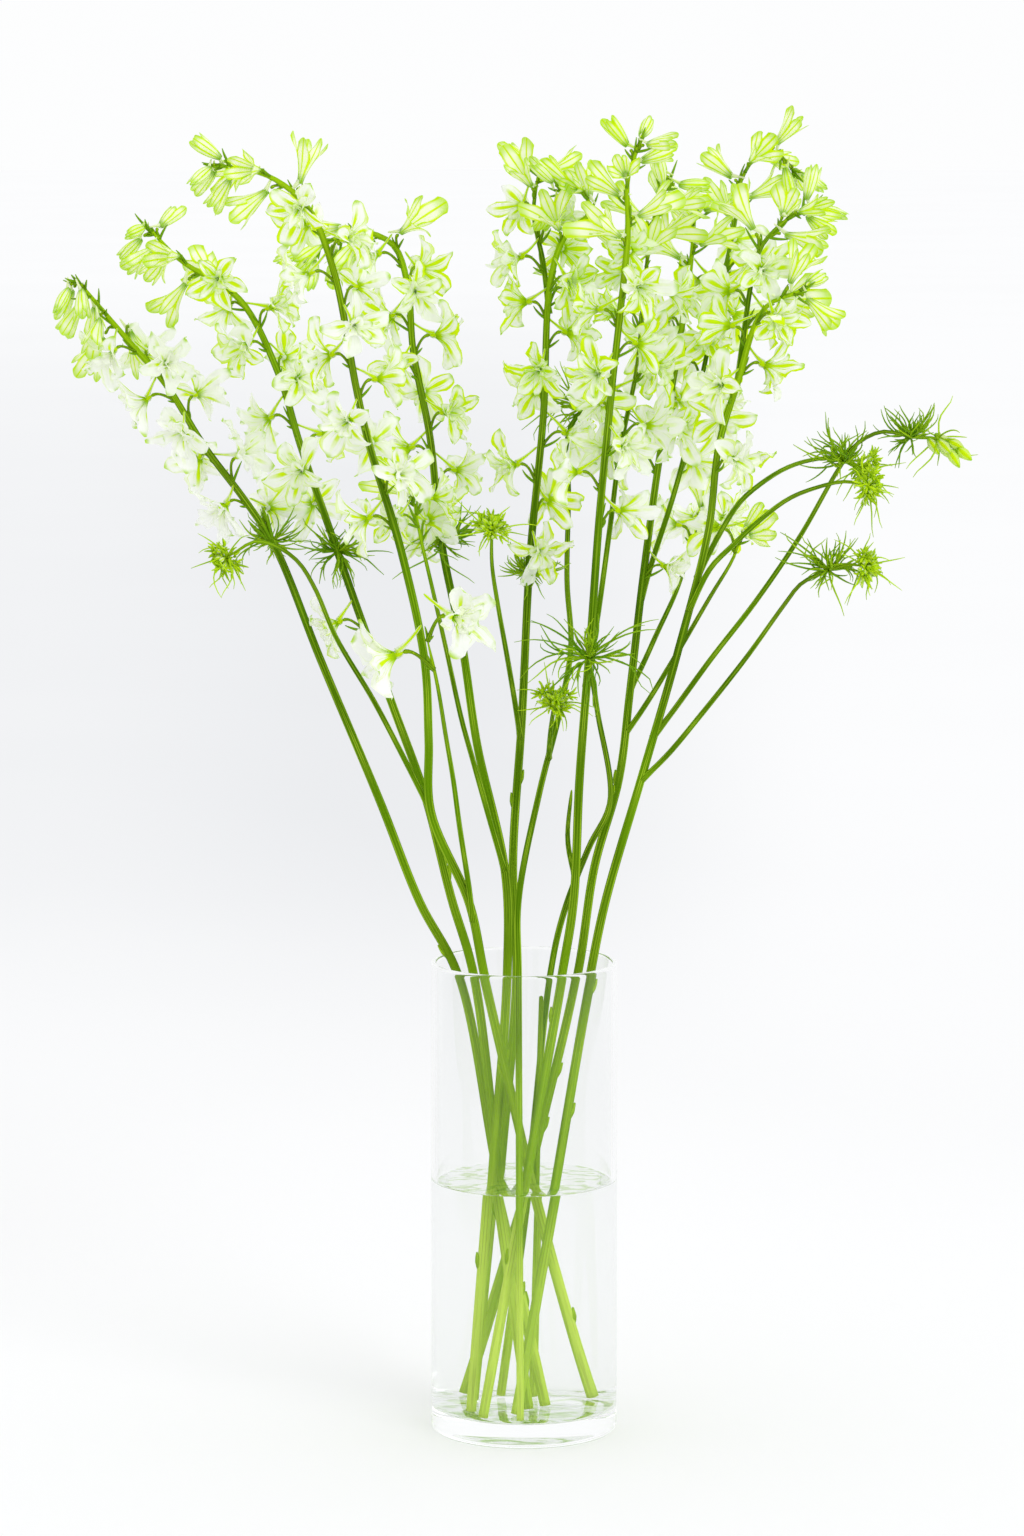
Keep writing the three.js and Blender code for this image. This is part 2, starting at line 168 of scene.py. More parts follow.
def shell_faces(rings: int, sides: int, first: int, foot: int, end: int) -> list[list[int]]:
    """The faces of a closed shell of rings.

    Args:
        rings: How many rings it has.
        sides: How many corners each ring has.
        first: The number of the first ring's first corner.
        foot: The number of the corner that closes the first ring.
        end: The number of the corner that closes the last ring.

    Returns:
        The faces.
    """
    faces: list[list[int]] = []
    last = first + (rings - 1) * sides
    for k in range(sides):
        following = (k + 1) % sides
        faces.append([foot, first + following, first + k])
        faces.append([end, last + k, last + following])
        for low in range(first, last, sides):
            high = low + sides
            faces.append([low + k, low + following, high + following, high + k])
    return faces


class MiddleLine:
    """A smooth line through points, read by the share of its length."""

    DIVISIONS = 200
    NUDGE = 0.0001

    def __init__(self, points: list[Vector]) -> None:
        """Measures the line.

        Args:
            points: What it passes through, from its root to its tip.
        """
        self.points = [np.array(p) for p in points]
        steps = np.linspace(0.0, 1.0, self.DIVISIONS + 1)
        places = np.array([self._place(t) for t in steps])
        paces = np.linalg.norm(np.diff(places, axis=0), axis=1)
        self.steps = steps
        self.reached = np.concatenate([[0.0], np.cumsum(paces)])
        self.length = float(self.reached[-1])

    def _place(self, t: float) -> np.ndarray:
        """The point at a share of the number of points.

        Args:
            t: The share, from 0 to 1.

        Returns:
            The point, on a curve that doesn't swing past its points.
        """
        count = len(self.points)
        stretch = min(max(t, 0.0), 1.0) * (count - 1)
        i = min(int(stretch), count - 2)
        w = stretch - i
        p1, p2 = self.points[i], self.points[i + 1]
        p0 = self.points[i - 1] if i > 0 else 2 * p1 - p2
        p3 = self.points[i + 2] if i + 2 < count else 2 * p2 - p1
        d0, d1, d2 = (math.sqrt(np.linalg.norm(b - a)) for a, b in ((p0, p1), (p1, p2), (p2, p3)))
        out = ((p1 - p0) / d0 - (p2 - p0) / (d0 + d1) + (p2 - p1) / d1) * d1
        into = ((p2 - p1) / d1 - (p3 - p1) / (d1 + d2) + (p3 - p2) / d2) * d1
        bend = -3 * p1 + 3 * p2 - 2 * out - into
        twist = 2 * p1 - 2 * p2 + out + into
        return p1 + w * (out + w * (bend + w * twist))

    def _step(self, u: float) -> float:
        """The share of the number of points at a share of the length."""
        return float(np.interp(u * self.length, self.reached, self.steps))

    def point(self, u: float) -> Vector:
        """The point at a share of the length."""
        return Vector(self._place(self._step(u)))

    def tangent(self, u: float) -> Vector:
        """The direction of the line, towards its tip.

        Args:
            u: The share of its length at which it is read.

        Returns:
            The direction.
        """
        t = self._step(u)
        ahead = self._place(min(1.0, t + self.NUDGE))
        return unit(Vector(ahead - self._place(max(0.0, t - self.NUDGE))))


class MeshDraft:
    """Collects the corners, faces and blade values of one piece."""

    def __init__(self) -> None:
        """Starts an empty draft."""
        self.corners: list[np.ndarray] = []
        self.values: list[np.ndarray] = []
        self.faces: list[list[int]] = []
        self.count = 0

    def add(self, corners: np.ndarray, faces: list[list[int]], values: np.ndarray) -> None:
        """Adds one closed shell.

        Args:
            corners: Its corners, one row each.
            faces: Its faces, as numbers of its own corners.
            values: Across, along and lime, one row for each corner.
        """
        start = self.count
        self.corners.append(corners)
        self.values.append(values)
        self.faces.extend([[start + k for k in face] for face in faces])
        self.count += len(corners)

    def build(self, name: str, material: Material) -> bpy.types.Object:
        """Makes the piece.

        Args:
            name: Its name.
            material: Its finish.

        Returns:
            The object, smoothly shaded and linked to the scene.
        """
        piece = new_piece(name, np.concatenate(self.corners).tolist(), self.faces, material)
        attribute = piece.data.attributes.new(BLADE, "FLOAT_VECTOR", "POINT")
        attribute.data.foreach_set("vector", np.concatenate(self.values).astype(np.float32).ravel())
        piece.data.shade_smooth()
        return piece


def hand_over(piece: bpy.types.Object, node: str, slot: Slot) -> None:
    """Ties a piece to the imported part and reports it.

    Args:
        piece: The piece.
        node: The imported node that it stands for.
        slot: The record's slot that its finish comes from.
    """
    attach(piece, BODY)
    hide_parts(node)
    triangles = sum(len(face.vertices) - 2 for face in piece.data.polygons)
    LOG.info("%s: %d triangles, slot %s", piece.name, triangles, slot.value)


# ---- Finishes --------------------------------------------------------------------------------------


class Bench:
    """The node tree of one material, with short calls for the nodes used here."""

    MIX_A, MIX_B, MIX_OUT = 6, 7, 2  # the colour sockets of a Mix node
    NOISE_DETAIL = 2.0

    def __init__(self, name: str) -> None:
        """Starts a material with an empty node tree.

        Args:
            name: The material's name.
        """
        self.material = bpy.data.materials.new(name)
        self.material.use_nodes = True
        self.tree = self.material.node_tree
        self.tree.nodes.clear()

    def node(self, kind: str, **settings: object) -> bpy.types.Node:
        """A new shader node.

        Args:
            kind: Its type, without the usual prefix.
            **settings: What is set on it.

        Returns:
            The node.
        """
        made = self.tree.nodes.new(f"ShaderNode{kind}")
        for key, value in settings.items():
            setattr(made, key, value)
        return made

    def plug(self, source: object, socket: Socket) -> None:
        """Feeds a socket from another socket, or sets it to a plain value.

        Args:
            source: The other socket, a number or a colour.
            socket: The socket that is fed.
        """
        if isinstance(source, Socket):
            self.tree.links.new(source, socket)
        elif isinstance(source, tuple) and len(source) == 3 and socket.type == "RGBA":
            socket.default_value = (*source, 1.0)
        else:
            socket.default_value = source

    def math(self, operation: str, a: object, b: object = 0.0, clamp: bool = False) -> Socket:
        """The result of a sum.

        Args:
            operation: The sum's name.
            a: Its first value.
            b: Its second value.
            clamp: Whether the result is kept from 0 to 1.

        Returns:
            The result's socket.
        """
        made = self.node("Math", operation=operation, use_clamp=clamp)
        self.plug(a, made.inputs[0])
        self.plug(b, made.inputs[1])
        return made.outputs[0]

    def times(self, a: object, b: object) -> Socket:
        """The product of two values."""
        return self.math("MULTIPLY", a, b)

    def plus(self, a: object, b: object) -> Socket:
        """The sum of two values."""
        return self.math("ADD", a, b)

    def most(self, a: object, b: object) -> Socket:
        """The greater of two values."""
        return self.math("MAXIMUM", a, b)

    def step(self, value: object, low: float, high: float, share: float = 1.0) -> Socket:
        """A soft step from 0 at low to share at high, also where low is the greater.

        Args:
            value: Where the step is read.
            low: The value with result 0.
            high: The value with result share.
            share: The height of the step.

        Returns:
            The result's socket.
        """
        made = self.node("MapRange", interpolation_type="SMOOTHSTEP")
        rising = low < high
        self.plug(value, made.inputs["Value"])
        made.inputs["From Min"].default_value = min(low, high)
        made.inputs["From Max"].default_value = max(low, high)
        made.inputs["To Min"].default_value = 0.0 if rising else share
        made.inputs["To Max"].default_value = share if rising else 0.0
        return made.outputs["Result"]

    def mix(self, share: object, a: object, b: object) -> Socket:
        """A mix of two colours.

        Args:
            share: How much of the second there is.
            a: The first colour.
            b: The second colour.

        Returns:
            The colour's socket.
        """
        made = self.node("Mix", data_type="RGBA")
        self.plug(share, made.inputs[0])
        self.plug(a, made.inputs[self.MIX_A])
        self.plug(b, made.inputs[self.MIX_B])
        return made.outputs[self.MIX_OUT]

    def noise(self, scale: float, stretch: Point = (1.0, 1.0, 1.0)) -> Socket:
        """Soft noise over the object's own space.

        Args:
            scale: How many lumps a metre holds.
            stretch: How much closer the lumps lie along each axis.

        Returns:
            The noise, from 0 to 1.
        """
        where = self.node("TexCoord")
        return self._noise_over(where.outputs["Object"], stretch, scale)

    def grain(self, around: float, lengthwise: float) -> Socket:
        """Noise drawn out along a plant part.

        Args:
            around: How many streaks lie across it.
            lengthwise: How many lie along it.

        Returns:
            The noise, from 0 to 1.
        """
        values = self.node("Attribute", attribute_name=BLADE)
        return self._noise_over(values.outputs["Vector"], (around, lengthwise, 0.0), 1.0)

    def _noise_over(self, where: Socket, stretch: Point, scale: float) -> Socket:
        """Soft noise over any coordinates.

        Args:
            where: The coordinates.
            stretch: How much closer the lumps lie along each of them.
            scale: How many lumps a unit holds.

        Returns:
            The noise, from 0 to 1.
        """
        mapping = self.node("Mapping")
        mapping.inputs["Scale"].default_value = stretch
        made = self.node("TexNoise")
        made.inputs["Scale"].default_value = scale
        made.inputs["Detail"].default_value = self.NOISE_DETAIL
        self.plug(where, mapping.inputs["Vector"])
        self.plug(mapping.outputs["Vector"], made.inputs["Vector"])
        return made.outputs["Fac"]

    def blade(self) -> tuple[Socket, Socket, Socket]:
        """Reads what each corner of a plant part holds.

        Returns:
            The sockets of across, along and lime.
        """
        values = self.node("Attribute", attribute_name=BLADE)
        parts = self.node("SeparateXYZ")
        self.plug(values.outputs["Vector"], parts.inputs[0])
        return parts.outputs[0], parts.outputs[1], parts.outputs[2]

    def bump(self, height: object, distance: float, strength: object, over: Socket | None = None) -> Socket:
        """A bumped normal.

        Args:
            height: The relief, from 0 to 1.
            distance: The height of the relief in metres.
            strength: How strongly it shows.
            over: The normal that it is laid over, where that is already bumped.

        Returns:
            The normal's socket.
        """
        made = self.node("Bump")
        made.inputs["Distance"].default_value = distance
        self.plug(strength, made.inputs["Strength"])
        self.plug(height, made.inputs["Height"])
        if over is not None:
            self.plug(over, made.inputs["Normal"])
        return made.outputs["Normal"]

    def principled(self, **sockets: object) -> bpy.types.Node:
        """A Principled shader.

        Args:
            **sockets: Its sockets by name, with _ for each space.

        Returns:
            The node.
        """
        made = self.node("BsdfPrincipled")
        for key, value in sockets.items():
            self.plug(value, made.inputs[key.replace("_", " ")])
        return made

    def blend(self, share: object, first: Socket, second: Socket) -> Socket:
        """A blend of two shaders.

        Args:
            share: How much of the second there is.
            first: The first shader.
            second: The second shader.

        Returns:
            The blended shader's socket.
        """
        made = self.node("MixShader")
        for source, socket in zip((share, first, second), made.inputs):
            self.plug(source, socket)
        return made.outputs[0]

    def finish(self, shader: Socket) -> Material:
        """Puts a shader on the surface.

        Args:
            shader: The shader.

        Returns:
            The material.
        """
        output = self.node("OutputMaterial")
        self.plug(shader, output.inputs["Surface"])
        return self.material

    def leaf_skin(
        self, colour: Socket, normal: Socket, roughness: float, shine: float, glow: float
    ) -> Material:
        """Puts on a thin skin that also lets light through from behind.

        Args:
            colour: Its colour, also of the light that comes through.
            normal: Its bumped normal.
            roughness: How rough it is.
            shine: The strength of its reflections.
            glow: The share of light that comes through.

        Returns:
            The material.
        """
        surface = self.principled(
            Base_Color=colour, Roughness=roughness, Normal=normal, Specular_IOR_Level=shine
        )
        through = self.node("BsdfTranslucent")
        self.plug(colour, through.inputs["Color"])
        self.plug(normal, through.inputs["Normal"])
        return self.finish(self.blend(glow, surface.outputs[0], through.outputs[0]))


# In the finishes each pair says where a mark starts and where it is full.


@dataclass(frozen=True)
class PetalFinish:
    """Thin white petal with lime veins, heart and tip, which lets light through."""

    name: str = "larkspur_petal"
    slot: Slot = Slot.PETAL
    white: Colour = (0.995, 0.995, 0.985)
    shade: Colour = (0.972, 0.974, 0.945)
    lime: Colour = (0.69, 0.91, 0.005)
    heart: Colour = (0.42, 0.69, 0.004)
    tip: Colour = (0.5, 0.78, 0.004)
    glow: float = 0.48
    roughness: float = 0.6
    shine: float = 0.08
    mottle_scale: float = 120.0
    blotch: Pair = (0.3, 0.62)
    shaded: Pair = (0.4, 0.75)
    middle_vein: Pair = (0.32, 0.08)  # over the half width
    middle_vein_run: Pair = (1.08, 0.25)  # along the length
    side_vein_count: float = 2.6
    side_vein: Pair = (0.15, 0.0)  # over the way from one side vein to the next
    side_vein_run: Pair = (0.95, 0.35)
    edge: Pair = (0.58, 0.96)
    edge_run: Pair = (0.25, 0.6)
    base_run: Pair = (0.32, 0.04)
    heart_run: Pair = (0.24, 0.04)
    tip_run: Pair = (0.84, 0.98)
    tip_blotch: Pair = (0.38, 0.56)
    wash: Pair = (0.1, 0.85)
    least_young: float = 0.06  # how green a young petal is between its veins
    young_strength: float = 1.7

    def material(self) -> Material:
        """Makes the finish.

        Returns:
            The finish.
        """
        bench = Bench(self.name)
        across, along, lime = bench.blade()
        off_middle = bench.math("ABSOLUTE", across)
        mottle = bench.noise(self.mottle_scale)
        blotches = bench.step(mottle, *self.blotch)
        middle = bench.times(
            bench.step(off_middle, *self.middle_vein), bench.step(along, *self.middle_vein_run, 0.9)
        )
        fan = bench.math("PINGPONG", bench.times(off_middle, self.side_vein_count), 0.5)
        sides = bench.times(bench.step(fan, *self.side_vein, 0.42), bench.step(along, *self.side_vein_run))
        veins = bench.most(middle, sides)
        edge = bench.times(bench.step(off_middle, *self.edge), bench.step(along, *self.edge_run))
        young = bench.times(lime, bench.plus(bench.plus(veins, edge), self.least_young))
        base = bench.times(bench.step(along, *self.base_run), bench.plus(blotches, 0.4))
        drawn = bench.times(veins, bench.plus(bench.times(blotches, 0.75), 0.15))
        washed = bench.plus(bench.times(young, self.young_strength), bench.plus(base, drawn))
        greenness = bench.step(washed, *self.wash)
        ground = bench.mix(bench.step(mottle, *self.shaded, 0.5), self.white, self.shade)
        body = bench.mix(greenness, ground, self.lime)
        hearted = bench.mix(bench.step(along, *self.heart_run, 0.85), body, self.heart)
        tipped = bench.times(bench.step(along, *self.tip_run, 0.9), bench.step(mottle, *self.tip_blotch))
        colour = bench.mix(tipped, hearted, self.tip)
        creases = bench.grain(5.0, 3.0)
        normal = bench.bump(bench.plus(veins, creases), 0.35 * MM, 0.5)
        return bench.leaf_skin(colour, normal, self.roughness, self.shine, self.glow)


@dataclass(frozen=True)
class BudFinish:
    """Closed bud: lime along its veins, edges and tip, paler between them."""

    name: str = "larkspur_bud"
    slot: Slot = Slot.BUD
    pale: Colour = (0.975, 0.988, 0.8)
    lime: Colour = (0.72, 0.92, 0.002)
    tip: Colour = (0.5, 0.78, 0.001)
    foot: Colour = (0.3, 0.58, 0.002)
    glow: float = 0.4
    roughness: float = 0.5
    shine: float = 0.08
    edge: Pair = (0.5, 0.92)  # over the half width
    vein: Pair = (0.2, 0.03)
    whole: Pair = (0.2, 0.5)  # the streaks in which a line is whole
    wash: Pair = (0.17, 0.87)
    tip_run: Pair = (0.72, 1.0)  # along the length
    foot_run: Pair = (0.28, 0.0)
    end_strength: float = 0.85

    def material(self) -> Material:
        """Makes the finish.

        Returns:
            The finish.
        """
        bench = Bench(self.name)
        across, along, lime = bench.blade()
        off_middle = bench.math("ABSOLUTE", across)
        edge = bench.step(off_middle, *self.edge)
        vein = bench.step(off_middle, *self.vein, 0.9)
        streaks = bench.grain(5.0, 1.6)
        lines = bench.times(bench.most(edge, vein), bench.step(streaks, *self.whole))
        greenness = bench.step(bench.plus(lime, lines), *self.wash)
        body = bench.mix(greenness, self.pale, self.lime)
        tipped = bench.mix(bench.step(along, *self.tip_run, self.end_strength), body, self.tip)
        colour = bench.mix(bench.step(along, *self.foot_run, self.end_strength), tipped, self.foot)
        normal = bench.bump(bench.plus(lines, streaks), 0.2 * MM, 0.4)
        return bench.leaf_skin(colour, normal, self.roughness, self.shine, self.glow)


@dataclass(frozen=True)
class StemFinish:
    """Fresh stem: ribbed and streaked, with painted shade in its grooves, pale at its foot, deep green above
    and lime at its tip.
    """

    name: str = "larkspur_stem"
    slot: Slot = Slot.STEM
    foot: Colour = (0.55, 0.74, 0.1)
    low: Colour = (0.23, 0.405, 0.01)
    deep: Colour = (0.075, 0.178, 0.0002)
    dusk: Colour = (0.055, 0.14, 0.0002)
    young: Colour = (0.165, 0.37, 0.001)
    streak: Colour = (0.42, 0.64, 0.03)
    # the colour of the painted shade in the grooves of the stem's relief
    painted_groove_shade: Colour = (0.02, 0.05, 0.0)
    groove_shade_keeps: float = 0.6  # how much of the stem's own colour the painted shade in the grooves keeps
    lime: Colour = (0.46, 0.74, 0.004)
    roughness: float = 0.55
    shine: float = 0.03
    low_run: Pair = (0.12, 0.21)  # along the length
    deep_run: Pair = (0.28, 0.42)
    dusk_run: Pair = (0.55, 0.8)
    patch: Pair = (0.38, 0.7)  # in the noise of each mark
    band: Pair = (0.48, 0.58)
    fine_streak: Pair = (0.54, 0.66)
    # where the painted shade in the grooves starts and is full, in the fine noise
    fine_groove_shade: Pair = (0.47, 0.36)
    band_share: float = 0.36

    def material(self) -> Material:
        """Makes the finish.

        Returns:
            The finish.
        """
        bench = Bench(self.name)
        _, along, lime = bench.blade()
        grain = bench.grain(4.5, 7.0)
        fine_grain = bench.grain(11.0, 10.0)
        patches = bench.noise(30.0, (1.0, 1.0, 0.15))
        wet = bench.mix(bench.step(along, *self.low_run), self.foot, self.low)
        upward = bench.mix(bench.step(along, *self.deep_run), wet, self.deep)
        topmost = bench.mix(bench.step(along, *self.dusk_run), upward, self.dusk)
        patched = bench.mix(bench.step(patches, *self.patch, 0.5), topmost, self.young)
        band = bench.mix(self.band_share, patched, self.streak)
        banded = bench.mix(bench.step(grain, *self.band, 0.8), patched, band)
        streaked = bench.mix(bench.step(fine_grain, *self.fine_streak, 0.6), banded, self.streak)
        # painted shade: darker where the bump sinks into grooves
        groove_shade_mask = bench.step(fine_grain, *self.fine_groove_shade, 0.8)
        full_groove_shade = bench.mix(1.0 - self.groove_shade_keeps, streaked, self.painted_groove_shade)
        groove_shaded = bench.mix(groove_shade_mask, streaked, full_groove_shade)
        colour = bench.mix(lime, groove_shaded, self.lime)
        normal = bench.bump(bench.plus(grain, fine_grain), 0.35 * MM, 0.6)
        surface = bench.principled(
            Base_Color=colour, Roughness=self.roughness, Normal=normal, Specular_IOR_Level=self.shine
        )
        return bench.finish(surface.outputs[0])


@dataclass(frozen=True)
class LeafFinish:
    """Thread leaf: fresh green, paler at its tip."""

    name: str = "larkspur_thread_leaf"
    slot: Slot = Slot.LEAF
    green: Colour = (0.16, 0.39, 0.002)
    lime: Colour = (0.64, 0.87, 0.01)
    glow: float = 0.3
    roughness: float = 0.55
    shine: float = 0.12
    mottle_scale: float = 300.0
    pale_run: Pair = (0.3, 1.0)  # along the length

    def material(self) -> Material:
        """Makes the finish.

        Returns:
            The finish.
        """
        bench = Bench(self.name)
        _, along, lime = bench.blade()
        mottle = bench.noise(self.mottle_scale)
        paler = bench.times(bench.step(along, *self.pale_run, 0.35), mottle)
        young = bench.math("ADD", lime, paler, clamp=True)
        colour = bench.mix(young, self.green, self.lime)
        normal = bench.bump(mottle, 0.2 * MM, 0.3)
        return bench.leaf_skin(colour, normal, self.roughness, self.shine, self.glow)


@dataclass(frozen=True)
class ClearFinish:
    """Glass or water: bends light, with a faint waviness, and lets lamps through to what it holds."""

    name: str
    slot: Slot
    tint: Colour
    ior: float
    waviness: float
    wave_scale: float
    mirror: float = 0.5  # the strength of reflections at right angles, which coated glass holds low
    caught: float = 7.5  # light that has bounced more often than this goes straight on, or rims go black
    ripple: float = 0.0  # the height of the ripples on its upper face
    upper: Colour | None = None  # the tint of the painted reflection of the stems on its upper face, where that differs
    between: Colour = (0.9, 0.92, 0.9)  # the tint between the painted reflection streaks of its upper face
    level: Pair = (0.8, 0.95)  # how level a face of the upper side is
    # the painted reflection streaks of the upper face: how many, and where they start and are full
    streak_count: float = 7.0
    streak: Pair = (0.26, 0.44)

    def material(self) -> Material:
        """Makes the finish.

        Returns:
            The finish.
        """
        bench = Bench(self.name)
        normal = bench.bump(bench.noise(self.wave_scale), self.waviness, 0.3)
        tint: object = self.tint
        if self.upper:
            normal, tint = self._upper_face(bench, normal)
        surface = bench.principled(
            Base_Color=tint, Roughness=0.0, Normal=normal, IOR=self.ior, Transmission_Weight=1.0,
            Specular_Tint=(self.mirror, self.mirror, self.mirror),
        )
        clear = bench.node("BsdfTransparent")
        bench.plug(self.tint, clear.inputs["Color"])
        path = bench.node("LightPath")
        unseen = bench.most(path.outputs["Is Shadow Ray"], path.outputs["Is Diffuse Ray"])
        is_caught = bench.math("GREATER_THAN", path.outputs["Ray Depth"], self.caught)
        lets_by = bench.most(unseen, is_caught)
        return bench.finish(bench.blend(lets_by, surface.outputs[0], clear.outputs[0]))

    def _upper_face(self, bench: Bench, normal: Socket) -> tuple[Socket, Socket]:
        """Ripples, and streaks of painted reflection on the upper face, as where it mirrors the stems over
        it.

        Args:
            bench: Where the finish is made.
            normal: The wavy normal of every face.

        Returns:
            The sockets of the normal and of the tint.
        """
        parts = bench.node("SeparateXYZ")
        bench.plug(bench.node("NewGeometry").outputs["True Normal"], parts.inputs[0])
        is_upper = bench.step(bench.math("ABSOLUTE", parts.outputs[2]), *self.level)
        ripples = bench.noise(30.0, (1.0, 1.6, 0.0))
        rippled = bench.bump(ripples, self.ripple, is_upper, over=normal)
        # painted reflection of the stems: green streaks along the ripples of the upper face
        waves = bench.math("PINGPONG", bench.times(ripples, self.streak_count), 0.5)
        streaked = bench.mix(bench.step(waves, *self.streak), self.between, self.upper)
        return rippled, bench.mix(is_upper, self.tint, streaked)


@dataclass(frozen=True)
class FloorFinish:
    """Pale matt floor, greyer in a wedge of painted shade behind the vase and whiter in a patch of painted
    light close to it.
    """

    name: str = "studio_floor"
    pale: Colour = (0.856, 0.856, 0.857)
    # the colour of the painted shade behind the vase, also of the floor's soft mottle
    painted_shade_and_mottle_grey: Colour = (0.735, 0.741, 0.752)
    # the colour of the painted light close to the vase
    white: Colour = (0.888, 0.887, 0.891)
    roughness: float = 0.7
    mottle: Pair = (0.3, 0.7)
    wedge_point: float = 2.9  # how far in front of the vase the sides of the painted shade wedge meet
    wedge_right: Pair = (0.062, -0.012)  # slants of its sides
    wedge_left: Pair = (-0.02, -0.09)
    wedge_left_fade: float = 0.36
    wedge_far: Pair = (16.0, 3.6)  # metres behind the vase
    wedge_near: Pair = (0.7, 2.4)
    # the round patch of painted light close to the vase: its middle, its reach, and where it starts and is
    # full
    painted_light_middle: Pair = (0.0, -0.05)
    painted_light_reach: Pair = (1.0, 1.1)
    patch: Pair = (0.0, 0.75)

    def material(self) -> Material:
        """Makes the finish.

        Returns:
            The finish.
        """
        bench = Bench(self.name)
        # painted shade: a greyer wedge behind the vase, with the floor's soft mottle added
        painted_shade = self._painted_shade_wedge(bench)
        mottle = bench.step(bench.noise(1.4), *self.mottle, 0.06)
        far = bench.mix(bench.math("ADD", painted_shade, mottle, clamp=True), self.pale, self.painted_shade_and_mottle_grey)
        # painted light: a whiter patch close to the vase
        painted_light = bench.step(self._painted_light_patch(bench), *self.patch)
        colour = bench.mix(painted_light, far, self.white)
        surface = bench.principled(Base_Color=colour, Roughness=self.roughness, Specular_IOR_Level=0.0)
        return bench.finish(surface.outputs[0])

    def _painted_shade_wedge(self, bench: Bench) -> Socket:
        """How much painted shade the floor gets: most behind the vase, less to the left and far off, and none
        to the right.

        Args:
            bench: Where the finish is made.

        Returns:
            The socket, from 0 to 1.
        """
        where = bench.node("TexCoord")
        parts = bench.node("SeparateXYZ")
        bench.plug(where.outputs["Object"], parts.inputs[0])
        across, back = parts.outputs["X"], parts.outputs["Y"]
        slant = bench.math("DIVIDE", across, bench.plus(back, self.wedge_point))
        right = bench.step(slant, *self.wedge_right)
        left = bench.math("SUBTRACT", 1.0, bench.step(slant, *self.wedge_left, self.wedge_left_fade))
        depth = bench.times(bench.step(back, *self.wedge_far), bench.step(back, *self.wedge_near))
        return bench.times(depth, bench.times(right, left))

    def _painted_light_patch(self, bench: Bench) -> Socket:
        """The round patch of painted light on the floor, which is whiter: 1 at its middle and 0 from its edge
        on.

        Args:
            bench: Where the finish is made.

        Returns:
            The socket, from 0 to 1.
        """
        (x, y), (wide, deep) = self.painted_light_middle, self.painted_light_reach
        where = bench.node("TexCoord")
        mapping = bench.node("Mapping")
        mapping.inputs["Location"].default_value = (-x / wide, -y / deep, 0.0)
        mapping.inputs["Scale"].default_value = (1 / wide, 1 / deep, 1.0)
        patch = bench.node("TexGradient", gradient_type="SPHERICAL")
        bench.plug(where.outputs["Object"], mapping.inputs["Vector"])
        bench.plug(mapping.outputs["Vector"], patch.inputs["Vector"])
        return patch.outputs["Fac"]


# ---- The vase and its water ------------------------------------------------------------------------


def lathe(outline: list[Pair], name: str, material: Material) -> bpy.types.Object:
    """Turns an outline round the Z axis to a closed body.

    Args:
        outline: Radius and height of its corners, from the axis to the axis.
        name: The piece's name.
        material: Its finish.

    Returns:
        The piece, smoothly shaded.
    """
    middle = outline[1:-1]
    turns = np.linspace(0.0, 2 * math.pi, LATHE_SIDES, endpoint=False)
    corners = [(0.0, 0.0, outline[0][1]), (0.0, 0.0, outline[-1][1])]
    corners += [(r * math.cos(a), r * math.sin(a), z) for r, z in middle for a in turns]
    piece = new_piece(name, corners, shell_faces(len(middle), LATHE_SIDES, 2, 0, 1), material)
    piece.data.shade_smooth()
    piece.data.set_sharp_from_angle(angle=SHARP_EDGE)
    return piece


def arc(centre: Pair, radius: float, start: float, end: float, steps: int) -> list[Pair]:
    """Corners along an arc of an outline.

    Args:
        centre: Its centre, as radius and height.
        radius: Its radius.
        start: Its first angle, in degrees from the outward direction.
        end: Its last angle.
        steps: How many stretches it has.

    Returns:
        The corners, both ends among them.
    """
    angles = [math.radians(start + (end - start) * k / steps) for k in range(steps + 1)]
    return [(centre[0] + radius * math.cos(a), centre[1] + radius * math.sin(a)) for a in angles]


@dataclass
class CylinderVase:
    """The clear glass cylinder, with its thick base and its fire-polished rim."""

    radius: float = 50 * MM
    height: float = 255 * MM
    wall: float = 3 * MM
    floor: float = 13 * MM
    heel: float = 3.5 * MM
    inner_heel: float = 2.5 * MM
    dish: float = 1.2 * MM  # the depth of the hollow under its base
    dish_marks: tuple[Pair, ...] = ((0.0, 0.6), (0.7, 0.4), (0.86, 0.0))  # shares of radius and depth
    finish: ClearFinish = field(
        default_factory=lambda: ClearFinish(
            "vase_glass", Slot.GLASS, (0.965, 0.97, 0.968), ior=1.4, waviness=0.4 * MM, wave_scale=14.0
        )
    )

    @property
    def inner_radius(self) -> float:
        """The radius of the vase's inside."""
        return self.radius - self.wall

    def build(self) -> None:
        """Makes the vase."""
        lip = self.wall / 2
        inner = self.inner_radius
        outline = [(self.radius * out, self.dish * up) for out, up in self.dish_marks]
        outline += arc((self.radius - self.heel, self.heel), self.heel, -90, 0, EDGE_STEPS)
        outline += [(self.radius, self.heel + RUN_OUT), (self.radius, self.height - lip - RUN_OUT)]
        outline += arc((self.radius - lip, self.height - lip), lip, 0, 180, LIP_STEPS)
        outline += [(inner, self.height - lip - RUN_OUT), (inner, self.floor + self.inner_heel + RUN_OUT)]
        centre = (inner - self.inner_heel, self.floor + self.inner_heel)
        outline += arc(centre, self.inner_heel, 0, -90, EDGE_STEPS)
        outline += [(inner - self.inner_heel - RUN_OUT, self.floor), (0.0, self.floor)]
        piece = lathe(outline, "vase_glass", self.finish.material())
        hand_over(piece, "vase", self.finish.slot)


